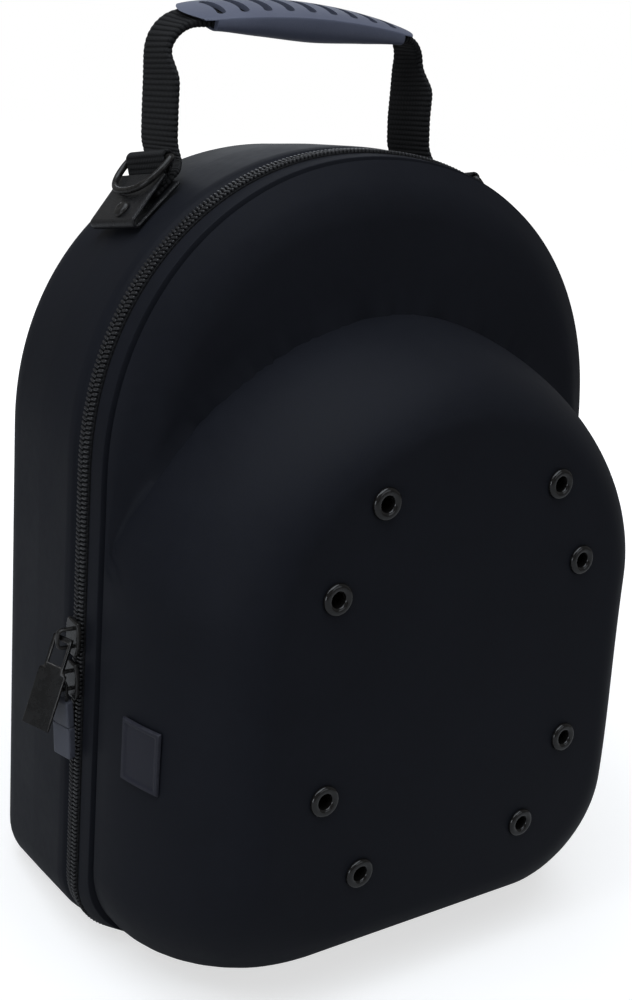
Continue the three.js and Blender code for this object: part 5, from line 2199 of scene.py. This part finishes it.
@dataclass
class SidePatch:
    """Bare rubber patch with a raised border, on the left side of the front."""

    near_y: float = -50.8
    far_y: float = -32.6
    bottom: float = 91.0
    top: float = 115.5
    thickness: float = 1.2
    border: float = 1.5
    sink: float = 0.55
    columns: int = 40
    rows: int = 52
    fall_run: float = 0.7
    edge_run: float = 0.5
    edge_power: float = 2.0
    edge_share: float = 0.45

    def build(self, shop: Workshop) -> None:
        """Makes the patch from a grid that follows the wall."""
        mesh = bmesh.new()
        bmesh.ops.create_grid(mesh, x_segments=self.columns, y_segments=self.rows, size=1.0)
        middle_z = (self.bottom + self.top) / 2.0
        run = self.far_y - self.near_y
        rise = self.top - self.bottom
        feet: dict[Vert, Vector] = {}
        for vert in mesh.verts:
            u, v = (vert.co.x + 1.0) / 2.0, (vert.co.y + 1.0) / 2.0
            y = lerp(self.near_y, self.far_y, u)
            ahead = FORM.wall_x(y + SLOPE_STEP, middle_z) - FORM.wall_x(y - SLOPE_STEP, middle_z)
            along = Vector((ahead, 2.0 * SLOPE_STEP, 0.0)).normalized()
            out = Vector((-along.y, along.x, 0.0))
            foot = Vector((FORM.wall_x(y, middle_z), y, lerp(self.bottom, self.top, v))) + out * (2.0 * GAP)
            inward = min(min(u, 1.0 - u) * run, min(v, 1.0 - v) * rise)
            fall = smooth_share(inward - self.border, self.fall_run)
            share = lerp(self.edge_share, 1.0, rounded_rise(inward, self.edge_run, self.edge_power))
            vert.co = foot + out * (self.thickness * share - self.sink * fall)
            feet[vert] = foot
        rim = [edge for edge in mesh.edges if edge.is_boundary]
        made = bmesh.ops.extrude_edge_only(mesh, edges=rim)
        fresh = set(new_verts(made))
        for vert, foot in feet.items():
            for edge in vert.link_edges:
                other = edge.other_vert(vert)
                if other in fresh:
                    other.co = foot
        open_edges = [edge for edge in mesh.edges if edge.is_boundary]
        bmesh.ops.holes_fill(mesh, edges=open_edges, sides=0)
        shop.add("rubber_patch", mesh, PATCH_RUBBER, ["side_patch"])


@dataclass(frozen=True)
class Softbox:
    """Square area light: its place and the point that it faces in metres, its side and its watts."""

    name: str
    place: Place
    aim: Place
    size: float
    power: float


@dataclass
class Studio:
    """Floor, lights and camera."""

    softboxes: tuple[Softbox, ...] = (
        Softbox("sky", (-0.25, -0.25, 1.5), (0.0, -0.02, 0.1), 1.4, 17.0),
        Softbox("left", (-1.2, -0.5, 0.24), (0.0, 0.0, 0.15), 0.4, 2.4),
        Softbox("shoulder", (-1.0, -0.1, 1.1), (0.0, 0.0, 0.2), 0.5, 2.2),
        Softbox("front", (0.5, -1.6, 0.9), (0.0, -0.05, 0.15), 1.0, 2.6),
        Softbox("rear", (0.7, 1.6, 0.9), (0.0, 0.0, 0.15), 1.0, 2.8),
    )
    camera_right: Place = (0.8287, -0.5535, 0.0829)
    camera_up: Place = (0.1001, 0.2923, 0.9511)
    camera_back: Place = (-0.5507, -0.7799, 0.2977)
    camera_place: Place = (-0.29515, -0.430, 0.3181)
    lens: float = 44.497
    sensor: float = 36.0
    shift: tuple[float, float] = (0.00631, 0.02324)
    nearest: float = 0.01
    floor_reach: float = 40.0
    floor_colour: Colour = (0.55, 0.55, 0.55)
    floor_roughness: float = 0.9
    floor_glow: float = 0.64
    glow_reach: tuple[float, float] = (0.2, 0.8)
    light_colour: Colour = (0.86, 0.92, 1.0)
    ambient: float = 0.18

    def build(self) -> None:
        """Sets the floor, the lights and the camera."""
        self._floor()
        self._world()
        for softbox in self.softboxes:
            self._hang(softbox)
        self._camera()

    def _floor(self) -> None:
        """Plain floor, made to look pale by a painted glow that only the camera sees."""
        mesh = bmesh.new()
        bmesh.ops.create_grid(mesh, x_segments=1, y_segments=1, size=self.floor_reach)
        data = mesh_data("floor", mesh)
        look = bpy.data.materials.new("pale_floor")
        look.use_nodes = True
        nodes = NodeTree(look.node_tree)
        seen = nodes.add("ShaderNodeLightPath").outputs["Is Camera Ray"]
        surface = look.node_tree.nodes["Principled BSDF"]
        surface.inputs["Base Color"].default_value = (*self.floor_colour, 1.0)
        surface.inputs["Roughness"].default_value = self.floor_roughness
        surface.inputs["Specular IOR Level"].default_value = 0.0
        surface.inputs["Emission Strength"].default_value = 1.0
        away = nodes.add("ShaderNodeVectorMath", operation="LENGTH")
        nodes.feed(away.inputs[0], nodes.add("ShaderNodeTexCoord").outputs["Object"])
        # Painted glow that only the camera sees: weaker near the case so that the shadow there stays
        # visible, full far off so that the floor meets the white surround.
        shine = nodes.ramp(away.outputs["Value"], *self.glow_reach, (self.floor_glow, 1.0))
        nodes.feed(surface.inputs["Emission Color"], nodes.mixed(seen, (0.0, 0.0, 0.0, 1.0), shine))
        data.materials.append(look)
        linked("floor", data)

    def _world(self) -> None:
        """White surround that lights the case less than it shows."""
        world = bpy.data.worlds.new("studio")
        world.use_nodes = True
        nodes = NodeTree(world.node_tree)
        seen = nodes.add("ShaderNodeLightPath").outputs["Is Camera Ray"]
        back = world.node_tree.nodes["Background"]
        dim = (self.ambient, self.ambient, self.ambient, 1.0)
        nodes.feed(back.inputs["Color"], nodes.mixed(seen, dim, (1.0, 1.0, 1.0, 1.0)))
        bpy.context.scene.world = world

    def _hang(self, softbox: Softbox) -> None:
        """Adds a softbox to the scene."""
        lamp = bpy.data.lights.new(softbox.name, "AREA")
        lamp.size = softbox.size
        lamp.energy = softbox.power
        lamp.color = self.light_colour
        box = linked(softbox.name, lamp)
        box.location = softbox.place
        ray = Vector(softbox.aim) - Vector(softbox.place)
        box.rotation_euler = ray.to_track_quat("-Z", "Y").to_euler()

    def _camera(self) -> None:
        """Camera at the photograph's place."""
        data = bpy.data.cameras.new("camera")
        data.sensor_width = self.sensor
        data.lens = self.lens
        data.shift_x, data.shift_y = self.shift
        data.clip_start = self.nearest
        camera = linked("camera", data)
        axes = (self.camera_right, self.camera_up, self.camera_back, self.camera_place)
        camera.matrix_world = frame_of(*[Vector(axis) for axis in axes])
        bpy.context.scene.camera = camera
        bpy.context.scene.view_settings.view_transform = "Standard"


def main() -> None:
    """Builds the carrier piece by piece and sets the studio round it."""
    logging.basicConfig(level=logging.INFO, format="%(message)s")
    shop = Workshop()
    vents = Vents()
    FrontShell().build(shop, vents)
    RearShell().build(shop)
    vents.build(shop)
    Zip().build(shop)
    Sliders().build(shop)
    anchor = Anchor()
    anchor.build(shop)
    Handle(anchor).build(shop)
    SidePatch().build(shop)
    Studio().build()


if __name__ == "__main__":
    main()
